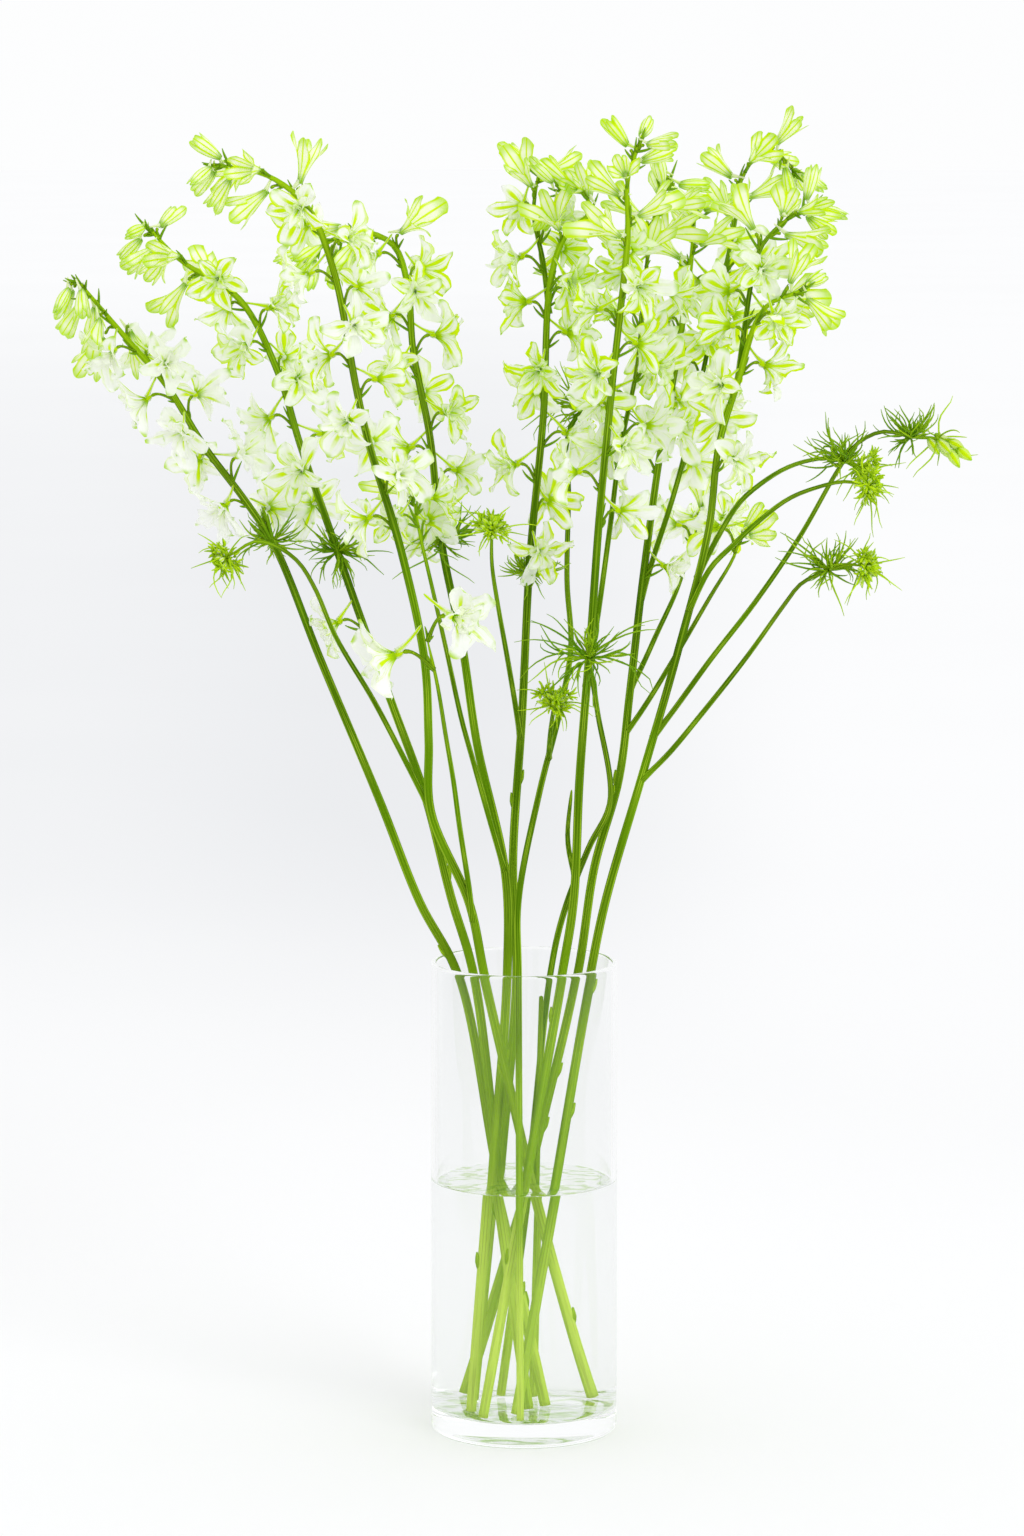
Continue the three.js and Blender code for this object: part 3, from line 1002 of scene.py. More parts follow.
@dataclass
class StandingWater:
    """The water in the vase, drawn a little up the glass where they meet."""

    vase: CylinderVase
    level: float = 138 * MM
    meniscus: float = 1.6 * MM
    sunk: float = 0.06 * MM  # how far the water reaches into the glass, so that no air lies between
    finish: ClearFinish = field(
        default_factory=lambda: ClearFinish(
            "vase_water", Slot.WATER, (0.995, 0.998, 0.997), ior=1.15, waviness=0.2 * MM, wave_scale=30.0,
            # upper: the green of the painted reflection of the stems on the water's upper face
            ripple=1.5 * MM, upper=(0.42, 0.62, 0.22),
        )
    )

    def build(self) -> None:
        """Makes the water."""
        wet = self.vase.inner_radius + self.sunk
        heel = self.vase.inner_heel
        base = self.vase.floor - self.sunk
        top = self.level - self.meniscus
        outline = [(0.0, base), (wet - heel - RUN_OUT, base)]
        outline += arc((wet - heel, base + heel), heel, -90, 0, EDGE_STEPS)
        outline += [(wet, base + heel + RUN_OUT), (wet, self.level)]
        outline += arc((wet - self.meniscus, self.level), self.meniscus, 0, -90, EDGE_STEPS)[1:]
        outline += [(wet - self.meniscus - RUN_OUT, top), (0.0, top)]
        piece = lathe(outline, "vase_water", self.finish.material())
        hand_over(piece, "water", self.finish.slot)


# ---- Parts of a plant ------------------------------------------------------------------------------


class BladeGrid:
    """The corners of a thin blade over its length and width, and the faces between them."""

    def __init__(self, along: list[float], across: list[float]) -> None:
        """Numbers the corners.

        Args:
            along: The shares of the length at which it has rows, from 0 to 1.
            across: The places over the width at which it has columns, from -1 to 1.
        """
        self.along, self.across = np.meshgrid(along, across, indexing="ij")
        numbers = np.arange(self.along.size).reshape(self.along.shape)
        corners = (numbers[:-1, :-1], numbers[:-1, 1:], numbers[1:, 1:], numbers[1:, :-1])
        self.faces = np.stack(corners, axis=-1).reshape(-1, 4).tolist()

    def values(self, lime: float) -> np.ndarray:
        """Across, along and lime for each corner."""
        sheet = np.stack([self.across, self.along, np.full(self.along.shape, lime)], axis=-1)
        return sheet.reshape(-1, 3)


SEPAL_GRID = BladeGrid(
    [0.0, 0.06, 0.14, 0.23, 0.33, 0.43, 0.53, 0.63, 0.73, 0.82, 0.9, 0.96, 1.0],
    [-1.0, -0.8, -0.58, -0.36, -0.16, 0.0, 0.16, 0.36, 0.58, 0.8, 1.0],
)
SMALL_GRID = BladeGrid(
    [0.0, 0.15, 0.32, 0.5, 0.68, 0.84, 0.94, 1.0],
    [-1.0, -0.65, -0.3, 0.0, 0.3, 0.65, 1.0],
)
BUD_GRID = BladeGrid(
    [0.0, 0.06, 0.16, 0.28, 0.42, 0.56, 0.7, 0.82, 0.92, 1.0],
    [-1.0, -0.75, -0.5, -0.25, 0.0, 0.25, 0.5, 0.75, 1.0],
)


@dataclass(frozen=True)
class Petal:
    """One petal about its flower's own axis, in the flower's own frame, facing +Z."""

    angle: float  # where it stands round the flower
    lean: float  # how far it leans off the flower's axis, in radians
    length: float
    half_width: float
    foot_radius: float  # how far from the axis it starts
    cup: float  # how far its sides bend in, in radians
    ruffle: float  # the height of the waves along its edges
    twist: float  # how far its tip is turned, in radians
    sway: float  # how far its tip lies to one side
    flip: float  # how far its tip bends back, in radians
    lime: float
    seed: float
    claw: float = 0.24  # the width of its foot, as a share of its greatest width
    flare: float = 0.5  # how much steeper its foot stands, in radians
    point: float = 0.72  # how pointed its tip is

    FINE_STEPS = 60  # how finely its middle line is worked out
    SHOULDER, TIP_REACH = 0.56, 0.44  # where it starts to narrow, and over which share of its length
    LEAST_WIDTH = 0.07
    LOPSIDE, NOTCH = 0.13, 0.07  # how uneven its outline is, in long and in short waves
    GUTTER = 0.16  # how far its edges stand up, as a share of its width
    LONG_WAVES, SHORT_WAVES = 1.9, 4.1  # how many waves run along each edge

    def add_to(self, draft: MeshDraft, grid: BladeGrid, place: Matrix) -> None:
        """Adds the petal to a draft.

        Args:
            draft: Where it goes.
            grid: How finely it is divided.
            place: The flower's frame.
        """
        s, t = grid.along, grid.across
        outward, upward, lean = self._middle(s)
        lateral, lift = self._relief(s, t)
        turn = self.twist * s**1.4
        lateral, lift = (
            lateral * np.cos(turn) - lift * np.sin(turn),
            lateral * np.sin(turn) + lift * np.cos(turn),
        )
        lateral = lateral + self.sway * s**2
        outward = outward - lift * np.cos(lean)
        upward = upward + lift * np.sin(lean)
        cosine, sine = math.cos(self.angle), math.sin(self.angle)
        front = np.stack(
            [outward * cosine - lateral * sine, outward * sine + lateral * cosine, upward], axis=-1
        )
        draft.add(placed(front.reshape(-1, 3), place), grid.faces, grid.values(self.lime))

    def _middle(self, s: np.ndarray) -> tuple[np.ndarray, np.ndarray, np.ndarray]:
        """Its middle line, from a steep foot to a tip that bends back.

        Args:
            s: The shares of its length at which it is read.

        Returns:
            How far out it lies, how far up, and how far it leans there.
        """
        fine = np.linspace(0.0, 1.0, self.FINE_STEPS)
        steepness = self.flare * (1 - smooth_step(0.0, 0.5, fine))
        lean = self.lean - steepness + self.flip * smooth_step(0.5, 1.0, fine)
        pace = self.length / (len(fine) - 1)
        outward = np.interp(s, fine, self.foot_radius + np.cumsum(np.sin(lean)) * pace)
        upward = np.interp(s, fine, np.cumsum(np.cos(lean)) * pace)
        return outward, upward, np.interp(s, fine, lean)

    def _relief(self, s: np.ndarray, t: np.ndarray) -> tuple[np.ndarray, np.ndarray]:
        """Its width and its relief: cupped, with uneven, waved edges.

        Args:
            s: The shares of its length.
            t: The places over its width.

        Returns:
            How far each corner lies beside its middle line, and how far over it.
        """
        phase = 2 * math.pi * draw(self.seed)
        narrowed = np.clip((s - self.SHOULDER) / self.TIP_REACH, 0.0, 1.0)
        tip = np.clip(1 - narrowed**2, 0.0, 1.0) ** self.point
        width = self.half_width * (self.claw + (1 - self.claw) * smooth_step(0.04, 0.6, s))
        width = width * np.maximum(tip, self.LEAST_WIDTH)
        lopside = self.LOPSIDE * np.sign(t) * np.sin(5.0 * s + phase)
        notches = self.NOTCH * np.sin(15.0 * s + 2 * phase) * t**2
        width = width * (1 + lopside + notches)
        bend = t * self.cup
        lateral = width * np.sin(bend) / self.cup
        lift = width * (1 - np.cos(bend)) / self.cup + self.GUTTER * width * np.abs(t)
        long_wave = np.sin(2 * math.pi * self.LONG_WAVES * s + phase + 2.0 * t)
        wave = long_wave + 0.5 * np.sin(2 * math.pi * self.SHORT_WAVES * s - phase)
        lift = lift + self.ruffle * wave * np.abs(t) ** 1.7 * smooth_step(0.15, 0.6, s)
        return lateral, lift


def placed(corners: np.ndarray, place: Matrix) -> np.ndarray:
    """Corners taken from their own frame to their place."""
    matrix = np.array(place)
    return corners @ matrix[:3, :3].T + matrix[:3, 3]


def add_tube(
    draft: MeshDraft,
    points: list[Vector],
    radii: list[float],
    sides: int,
    lime: list[float],
    along: list[float],
    ribs: int = 0,
) -> None:
    """Adds a closed tube along points.

    Args:
        draft: Where it goes.
        points: Its middle line.
        radii: Its radius at each point.
        sides: How many sides it has.
        lime: How lime it is at each point.
        along: How far along its plant part each point is.
        ribs: How many ribs run along it.
    """
    path = np.array([tuple(p) for p in points])
    tangents = np.gradient(path, axis=0)
    tangents /= np.maximum(np.linalg.norm(tangents, axis=1, keepdims=True), 1e-12)
    side = np.array((0.0, 1.0, 0.0)) if abs(tangents[0][1]) < 0.9 else np.array((1.0, 0.0, 0.0))
    angles = np.linspace(0.0, 2 * math.pi, sides, endpoint=False)
    rib = 1.0 + (RIB_HEIGHT * np.cos(ribs * angles) if ribs else 0.0 * angles)
    aside, beside = rib * np.cos(angles), rib * np.sin(angles)
    rings = []
    for middle, tangent, radius in zip(path, tangents, radii):
        side = side - tangent * (side @ tangent)
        side = side / np.linalg.norm(side)
        other = np.cross(tangent, side)
        rings.append(middle + radius * (np.outer(aside, side) + np.outer(beside, other)))
    count = len(path)
    corners = np.concatenate([*rings, path[:1], path[-1:]])
    foot, end = count * sides, count * sides + 1
    faces = shell_faces(count, sides, 0, foot, end)
    values = np.empty((len(corners), 3))
    values[: count * sides, 0] = np.tile(np.abs(angles / math.pi - 1), count)
    values[: count * sides, 1] = np.repeat(along, sides)
    values[: count * sides, 2] = np.repeat(lime, sides)
    values[foot] = (0.5, along[0], lime[0])
    values[end] = (0.5, along[-1], lime[-1])
    draft.add(corners, faces, values)


@dataclass(frozen=True)
class Thread:
    """A thin leaf or stalk that leaves its foot in one direction and bends as it goes."""

    foot: Vector
    way: Vector
    length: float
    radius: float = 0.42 * MM
    rise: float = 0.3  # how far its tip bends up, as a share of its length
    sway: float = 0.0  # how far its tip bends to one side, as a share of its length
    lime: float = 0.2
    steps: int = 7
    curl: float = 0.0  # how far it snakes, as a share of its length

    LEAST_TURN, MOST_TURN = 0.05, 2.1  # how far it turns from its foot to its tip, in radians
    TURN_PACE = 1.5  # how much it turns for a pull of its own length
    SNAKE_PACE = 5.5

    def point(self, share: float) -> Vector:
        """Its middle.

        Args:
            share: The share of its length at which it is read.

        Returns:
            The point, on an arc that snakes a little.
        """
        level = self.way.cross(Vector((0.0, 0.0, 1.0)))
        side = level.normalized() if level.length > 0.05 else Vector((1.0, 0.0, 0.0))
        pull = Vector((0.0, 0.0, self.rise)) + side * self.sway
        bend = pull - self.way * pull.dot(self.way)
        turn = max(self.LEAST_TURN, min(self.MOST_TURN, self.TURN_PACE * bend.length))
        arc_out = self.way * math.sin(turn * share) + unit(bend) * (1.0 - math.cos(turn * share))
        snake = side * (self.curl * share * math.sin(self.SNAKE_PACE * share))
        return self.foot + self.length * (arc_out / turn + snake)

    def add_to(self, draft: MeshDraft) -> None:
        """Adds the thread to a draft.

        Args:
            draft: Where it goes.
        """
        shares = [k / self.steps for k in range(self.steps + 1)]
        radii = [self.radius * (1.0 - 0.7 * share**3) for share in shares]
        limes = [self.lime] * len(shares)
        add_tube(draft, [self.point(share) for share in shares], radii, 5, limes, shares)


@dataclass(frozen=True)
class Flower:
    """An open flower: five sepals, a spur, a ring of inner petals and stamens."""

    size: float
    spread: float
    lime: float
    seed: float
    sepal_length: float = 20.8 * MM
    sepal_width: float = 12.2 * MM
    hub: float = 2.2 * MM
    spur_length: float = 13 * MM
    spur_rise: float = 7 * MM
    petals: int = 5
    inner_petals: int = 7

    def add_to(self, draft: MeshDraft, place: Matrix) -> None:
        """Adds the flower to a draft.

        Args:
            draft: Where it goes.
            place: Its frame: it faces +Z, and its spur runs back and up along +Y.
        """
        for i in range(self.petals):
            self._sepal(i).add_to(draft, SEPAL_GRID, place)
        for i in range(self.inner_petals):
            self._inner_petal(i).add_to(draft, SMALL_GRID, place)
        self._add_heart(draft, place)
        self._add_spur(draft, place)
        self._add_stamens(draft, place)

    def _sepal(self, i: int) -> Petal:
        """One of the five sepals.

        Args:
            i: Which one it is.

        Returns:
            The sepal.
        """
        seed = self.seed
        mark = seed + 400 + 11 * i
        return Petal(
            angle=math.pi / 2 + i * 2 * math.pi / self.petals + spread_draw(mark, -0.2, 0.2),
            lean=self.spread + 0.3 * (draw(seed + i) - 0.5) + spread_draw(mark + 9, -0.2, 0.2),
            length=self.sepal_length * self.size * (0.88 + 0.24 * draw(seed + 10 + i)),
            half_width=self.sepal_width / 2 * self.size * spread_draw(mark + 1, 0.78, 1.2),
            foot_radius=self.hub * (0.42 + 0.12 * (i % 2)) * self.size,
            cup=spread_draw(mark + 2, 0.3, 1.2),
            ruffle=spread_draw(mark + 3, 0.5, 1.35) * MM * self.size,
            twist=spread_draw(mark + 4, -1.25, 1.25),
            sway=spread_draw(mark + 5, -4.5, 4.5) * MM * self.size,
            flip=spread_draw(mark + 6, -0.45, 1.0),
            lime=self.lime * spread_draw(mark + 7, 0.2, 1.8),
            seed=mark,
            flare=spread_draw(mark + 8, 0.4, 0.75),
            point=spread_draw(mark + 10, 0.4, 0.8),
        )

    def _inner_petal(self, i: int) -> Petal:
        """One of the inner petals, which stand between the sepals and closer to the heart.

        Args:
            i: Which one it is.

        Returns:
            The petal.
        """
        mark = self.seed + 500 + 7 * i
        return Petal(
            angle=math.pi / 2 + (i + 0.5) * 2 * math.pi / self.inner_petals + spread_draw(mark, -0.25, 0.25),
            lean=self.spread * spread_draw(mark + 1, 0.3, 0.95),
            length=self.sepal_length * self.size * spread_draw(mark + 2, 0.5, 0.9),
            half_width=self.sepal_width * 0.3 * self.size * spread_draw(mark + 5, 0.8, 1.15),
            foot_radius=self.hub * 0.3 * self.size,
            cup=spread_draw(mark + 7, 0.6, 1.3),
            ruffle=spread_draw(mark + 8, 0.5, 1.3) * MM * self.size,
            twist=spread_draw(mark + 3, -1.1, 1.1),
            sway=spread_draw(mark + 6, -2.0, 2.0) * MM * self.size,
            flip=spread_draw(mark + 4, 0.1, 0.9),
            lime=0.03 + 0.6 * self.lime,
            seed=mark,
            claw=0.32,
            point=0.5,
        )

    def _add_heart(self, draft: MeshDraft, place: Matrix) -> None:
        """Adds the small pale cup from which the petals grow.

        Args:
            draft: Where it goes.
            place: The flower's frame.
        """
        heights = [-2.4, -1.5, -0.3, 0.8, 1.7, 2.2]
        widths = [0.7, 1.5, 1.9, 1.7, 1.0, 0.3]
        points = [place @ (Vector((0.0, 0.0, height * MM)) * self.size) for height in heights]
        radii = [width * MM * self.size for width in widths]
        add_tube(draft, points, radii, 8, [0.5] * len(heights), [0.3] * len(heights))

    def _add_spur(self, draft: MeshDraft, place: Matrix) -> None:
        """Adds the spur: a thin hollow horn behind the upper sepal.

        Args:
            draft: Where it goes.
            place: The flower's frame.
        """
        droop = spread_draw(self.seed + 600, -0.15, 0.35)
        shares = [0.0, 0.1, 0.25, 0.42, 0.6, 0.78, 0.92, 1.0]
        widths = [1.7, 1.45, 1.1, 0.85, 0.7, 0.66, 0.62, 0.25]
        points = []
        for share in shares:
            rise = self.spur_rise * (share - droop * share * (1 - share) * 2) + 0.9 * MM
            points.append(place @ (Vector((0.0, rise, -self.spur_length * share)) * self.size))
        radii = [width * MM * self.size for width in widths]
        limes = [min(1.0, self.lime + 0.1 + 0.8 * share**3) for share in shares]
        add_tube(draft, points, radii, 8, limes, [0.5] * len(shares))

    def _add_stamens(self, draft: MeshDraft, place: Matrix) -> None:
        """Adds the short stamens at the heart of the flower.

        Args:
            draft: Where they go.
            place: The flower's frame.
        """
        count = 5
        for i in range(count):
            angle = 2 * math.pi * (i + draw(self.seed + 700 + i)) / count
            lean = spread_draw(self.seed + 720 + i, 0.15, 0.5)
            way = Vector((math.cos(angle) * math.sin(lean), math.sin(angle) * math.sin(lean), math.cos(lean)))
            length = spread_draw(self.seed + 740 + i, 3.2, 5.4) * MM * self.size
            shares = [0.0, 0.55, 0.72, 0.86, 1.0]
            widths = [0.16, 0.13, 0.4, 0.4, 0.12]
            points = [place @ (way * length * share) for share in shares]
            add_tube(draft, points, [w * MM for w in widths], 4, [0.1, 0.1, 0.3, 0.3, 0.3], [0.7] * 5)


@dataclass(frozen=True)
class Bud:
    """A closed or half-open bud: five sepals wrapped round each other, with the start of a spur."""

    size: float
    opening: float  # 0 for a closed bud, 1 for a young trumpet whose sepals part
    lime: float
    seed: float
    length: float = 17.0 * MM
    radius: float = 3.4 * MM
    wrap: float = 0.84  # half the turn of one sepal round the bud, in radians
    overlap: float = 0.28 * MM
    sepals: int = 5

    def add_to(self, draft: MeshDraft, place: Matrix) -> None:
        """Adds the bud to a draft.

        Args:
            draft: Where it goes.
            place: Its frame: it points along +Z.
        """
        s, t = BUD_GRID.along, BUD_GRID.across
        closed = np.sin(math.pi * (0.09 + 0.86 * s**0.9)) ** 0.8
        trumpet = 0.34 + 0.85 * smooth_step(0.0, 0.85, s)
        belly = closed * (1 - self.opening) + trumpet * self.opening
        for i in range(self.sepals):
            mark = self.seed + 800 + 9 * i
            length = self.length * self.size * spread_draw(mark, 0.88, 1.1) * (1 + 0.22 * self.opening)
            parting = self.opening * spread_draw(mark + 1, 0.1, 0.6) * length * s**2.6
            reach = self.radius * self.size * belly + parting
            reach = reach + self.overlap * self.size * t
            lobe = 1 - self.opening * 0.72 * smooth_step(0.5, 1.0, s)
            turn = self.wrap * t * lobe
            turn = turn + 2 * math.pi * i / self.sepals + spread_draw(mark + 2, -0.12, 0.12)
            height = length * (s - 0.12 * np.abs(t) ** 2 * smooth_step(0.5, 1.0, s))
            sheet = np.stack([reach * np.cos(turn), reach * np.sin(turn), height], axis=-1)
            lime = self.lime * spread_draw(mark + 3, 0.7, 1.25)
            draft.add(placed(sheet.reshape(-1, 3), place), BUD_GRID.faces, BUD_GRID.values(lime))
        self._add_spur(draft, place)

    def _add_spur(self, draft: MeshDraft, place: Matrix) -> None:
        """Adds the young spur at the foot of the bud.

        Args:
            draft: Where it goes.
            place: The bud's frame.
        """
        shares = [0.0, 0.2, 0.45, 0.7, 0.9, 1.0]
        widths = [1.3, 1.0, 0.72, 0.56, 0.48, 0.15]
        reach = Vector((0.0, 3.4, -7.0)) * MM * self.size
        points = [place @ (Vector((0.0, 0.3, 1.2)) * MM + reach * share) for share in shares]
        radii = [width * MM * self.size for width in widths]
        add_tube(draft, points, radii, 7, [self.lime] * len(shares), [0.5] * len(shares))


# ---- Stems -----------------------------------------------------------------------------------------


@dataclass(frozen=True)
class Width:
    """The radius of a stem at its root and at its top."""

    root: float
    top: float
    sides: int
    ribs: int


STEM_WIDTH = Width(2.5 * MM, 1.4 * MM, 20, 7)
THIN_WIDTH = Width(2.0 * MM, 1.2 * MM, 18, 6)
SHOOT_WIDTH = Width(1.5 * MM, 0.7 * MM, 12, 5)


@dataclass(frozen=True)
class Brush:
    """Thread leaves that point forward and to all sides at the end of a shoot."""

    count: int
    lengths: Pair
    radius: float
    width: float = 0.0  # how far from the shoot's axis they grow
    rises: Pair = (-0.35, 0.5)  # how far their tips bend up, as a share of their length


LONG_BRUSH = Brush(10, (12 * MM, 24 * MM), 0.5 * MM, rises=(-0.8, 1.3))
BUD_BRUSH = Brush(15, (2.8 * MM, 6.5 * MM), 0.7 * MM, width=1.5 * MM)
TIGHT_BRUSH = Brush(18, (12 * MM, 27 * MM), 0.45 * MM, rises=(-1.3, 0.2))

@dataclass(frozen=True)
class Spike:
    """Flowers and buds along the end of a stem."""

    length: float  # how far below the tip the first flower is, in mm
    opened: int
    closed: int
    turn: float
    droop: float = 0.0
    size: float = 1.0


@dataclass(frozen=True)
class Tuft:
    """A whorl of thread leaves, in mm below the tip of its stem."""

    below: float
    size: float
    upright: bool = False  # whether thick leaves stand along the stem in its middle


@dataclass(frozen=True)
class Route:
    """A stem or a side shoot: its middle line in mm, and what grows on it."""

    line: tuple[Point, ...]
    spikes: tuple[Spike, ...] = ()
    tufts: tuple[Tuft, ...] = ()
    head: Head = Head.NONE
    shoots: tuple["Route", ...] = ()
    nodes: tuple[Pair, ...] = ()  # height in mm and turn of each knot
    thin: bool = False
    lime: float = 1.0  # how lime its flowers are


STEMS: dict[str, Route] = {
    "stem_a": Route(
        line=((10, -1, 14), (-35, 13, 244), (-56, 19, 284), (-77, 25, 337), (-109, 28, 414),
              (-133, 30, 474), (-149, 31, 499), (-170, 32, 527), (-191, 33, 561), (-210, 34, 583),
              (-226, 35, 602), (-237, 35, 615)),
        spikes=(Spike(165, 10, 8, 1.2, droop=1.3),),
        tufts=(Tuft(172, 0.8, upright=True),),
        lime=0.25,
        nodes=((70, 0.5), (258, 3.0)),
    ),
    "stem_b": Route(
        line=((2, -9, 14), (-27, 4, 247), (-39, 9, 288), (-53, 16, 342), (-70, 22, 389), (-88, 28, 438),
              (-107, 35, 492), (-120, 40, 529), (-131, 44, 565), (-152, 49, 605), (-184, 52, 626),
              (-199, 55, 641)),
        spikes=(Spike(185, 10, 8, 1.9, droop=0.6), Spike(250, 1, 0, 3.4)),
        tufts=(Tuft(205, 0.9),),
        lime=0.65,
        nodes=((120, 2.8), (300, 0.2)),
    ),
    "stem_c": Route(
        line=((30, 20, 14), (-21, -38, 254), (-29, -41, 293), (-49, -45, 342), (-50, -48, 380),
              (-52, -51, 422), (-64, -55, 480), (-81, -59, 538), (-87, -62, 566), (-98, -66, 625),
              (-111, -68, 657), (-130, -70, 673), (-156, -70, 679)),
        spikes=(Spike(225, 12, 8, 3.0, droop=0.3),),
        lime=0.6,
        shoots=(
            Route(
                line=((-49, -45, 342), (-64, -39, 371), (-79, -34, 399), (-99, -27, 432), (-110, -22, 457),
                      (-119, -20, 471), (-131, -17, 479), (-142, -15, 481), (-151, -14, 476),
                      (-159, -12, 471)),
                head=Head.TIGHT,
            ),
            Route(
                line=((-27, -41, 283), (-29, -45, 301), (-34, -53, 336), (-37, -59, 360), (-41, -64, 385),
                      (-45, -70, 411), (-50, -75, 435)),
                spikes=(Spike(16, 2, 0, 3.3, size=1.3),),
            ),
        ),
        nodes=((60, 0.1), (200, 3.1)),
    ),
    "stem_e": Route(
        line=((-26, -16, 14), (-9, -12, 250), (-10, -6, 303), (-25, 3, 371), (-33, 9, 424), (-44, 15, 478),
              (-50, 22, 533), (-59, 28, 579), (-62, 32, 614), (-70, 34, 635), (-91, 35, 642),
              (-110, 34, 632)),
        spikes=(Spike(210, 12, 9, 2.2, droop=0.5),),
        tufts=(Tuft(205, 1.1),),
        shoots=(
            Route(
                line=((-10, -6, 303), (-20, -13, 339), (-27, -18, 365), (-33, -19, 387), (-41, -20, 424),
                      (-49, -22, 460), (-54, -23, 482), (-58, -25, 503)),
                spikes=(Spike(22, 3, 2, 1.4, size=0.9),),
            ),
        ),
        nodes=((95, 3.3), (205, 0.0)),
    ),
    "stem_d": Route(
        line=((-23, 13, 14), (-4, 37, 242), (-6, 31, 303), (-1, 22, 386), (3, 12, 469), (10, 4, 545),
              (14, -5, 619), (22, -7, 642), (34, -9, 653), (31, -10, 663), (20, -10, 664)),
        spikes=(Spike(215, 10, 7, 4.9),),
        tufts=(Tuft(222, 0.8),),
        shoots=(
            Route(
                line=((13, -2, 600), (10, 2, 626), (5, 6, 652), (7, 8, 672)),
                spikes=(Spike(70, 4, 3, 1.0),),
            ),
            Route(
                line=((-2, 23, 372), (-5, 13, 393), (-9, 1, 418), (-14, -14, 448), (-17, -24, 470),
                      (-17, -35, 491)),
                head=Head.TIGHT,
            ),
        ),
        nodes=((350, 0.1), (337, 3.0), (130, 2.0)),
    ),
    "stem_f": Route(
        line=((-2, -38, 14), (-3, -39, 255), (-3, -25, 292), (8, -4, 346), (19, 11, 388), (25, 24, 421),
              (23, 36, 455), (24, 53, 501), (24, 65, 533), (33, 70, 547)),
        thin=True,
        tufts=(Tuft(2, 1.0),),
        shoots=(Route(line=((13, 2, 364), (14, -14, 381), (16, -30, 399)), head=Head.TIGHT),),
        nodes=((85, 0.3),),
    ),
    "stem_s": Route(
        line=((-10, 26, 14), (14, 0, 248), (21, -13, 283), (34, -27, 320), (45, -38, 346), (38, -57, 396),
              (33, -70, 427)),
        thin=True,
        tufts=(Tuft(2, 1.25),),
        shoots=(Route(line=((27, -20, 302), (23, -20, 323), (25, -20, 350))),),
        nodes=((352, 0.2), (110, 3.2)),
    ),
    "stem_g": Route(
        line=((-21, -32, 14), (20, -30, 253), (26, -33, 293), (29, -38, 359), (35, -45, 440),
              (39, -49, 498), (45, -54, 563), (53, -61, 644), (53, -63, 672), (58, -65, 688)),
        spikes=(Spike(200, 9, 8, 0.9),),
        shoots=(
            Route(
                line=((32, -42, 407), (38, -38, 442), (45, -32, 492), (50, -27, 530), (59, -22, 574),
                      (63, -16, 618), (68, -12, 652), (75, -10, 667)),
                spikes=(Spike(150, 8, 8, 4.4),),
            ),
        ),
        nodes=((100, 3.2), (230, 3.2)),
    ),
    "stem_h": Route(
        line=((-25, 29, 14), (29, 31, 243), (38, 34, 301), (51, 36, 348), (57, 39, 396), (64, 41, 458),
              (73, 44, 524), (81, 46, 570), (89, 49, 624), (91, 50, 650)),
        spikes=(Spike(140, 8, 6, 2.7), Spike(196, 1, 0, 6.1, size=0.8)),
        shoots=(
            Route(
                line=((62, 41, 442), (69, 42, 466), (80, 45, 500), (88, 47, 530), (96, 50, 567),
                      (104, 53, 605), (113, 56, 647), (116, 57, 668), (124, 58, 680), (136, 59, 682),
                      (144, 60, 673)),
                spikes=(Spike(200, 9, 10, 1.2),),
            ),
            Route(
                line=((57, 39, 396), (64, 47, 409), (72, 58, 425), (83, 72, 447), (90, 85, 466),
                      (97, 95, 483)),
                spikes=(Spike(16, 3, 1, 3.3),),
            ),
            Route(
                line=((54, 38, 372), (59, 36, 379), (68, 34, 393), (87, 28, 426), (100, 25, 449),
                      (111, 22, 468), (115, 20, 479)),
                spikes=(Spike(8, 1, 2, 2.6),),
            ),
        ),
        nodes=((160, 0.2), (190, 0.1), (348, 3.0)),
    ),
    "stem_i": Route(
        line=((-4, -22, 14), (35, -24, 252), (43, -27, 292), (61, -32, 356), (80, -36, 424),
              (96, -41, 490), (101, -44, 534), (110, -46, 565), (124, -49, 605), (142, -50, 614)),
        spikes=(Spike(110, 6, 4, 5.6),),
        shoots=(
            Route(
                line=((110, -46, 565), (114, -40, 593), (118, -35, 619), (123, -31, 636),
                      (135, -28, 649), (146, -25, 655)),
                spikes=(Spike(75, 4, 7, 0.3),),
            ),
            Route(
                line=((90, -39, 464), (102, -28, 486), (113, -19, 502), (124, -12, 511), (138, -5, 519),
                      (153, 2, 523), (168, 8, 523), (182, 15, 516)),
                head=Head.TIGHT,
            ),
            Route(
                line=((86, -38, 447), (97, -45, 470), (108, -50, 482), (121, -56, 495), (136, -61, 507),
                      (149, -66, 513), (165, -71, 517), (179, -75, 515)),
                head=Head.TIGHT,
            ),
            Route(
                line=((67, -33, 379), (77, -33, 392), (98, -32, 421), (121, -32, 451), (144, -31, 485),
                      (165, -31, 522), (174, -31, 534), (187, -31, 540), (203, -30, 537),
                      (217, -30, 536), (230, -30, 529)),
                tufts=(Tuft(72, 1.0), Tuft(30, 0.9)),
                head=Head.LONG,
            ),
            Route(
                line=((61, -32, 356), (75, -39, 371), (91, -49, 392), (115, -63, 425), (134, -76, 454),
                      (142, -81, 465), (152, -86, 471), (166, -91, 476), (176, -95, 475)),
                tufts=(Tuft(22, 1.0),),
                head=Head.TIGHT,
            ),
        ),
        nodes=((178, 0.1), (245, 0.1)),
    ),
    "stem_stub": Route(line=((4, 24, 14), (9, -16, 239)), thin=True),
}


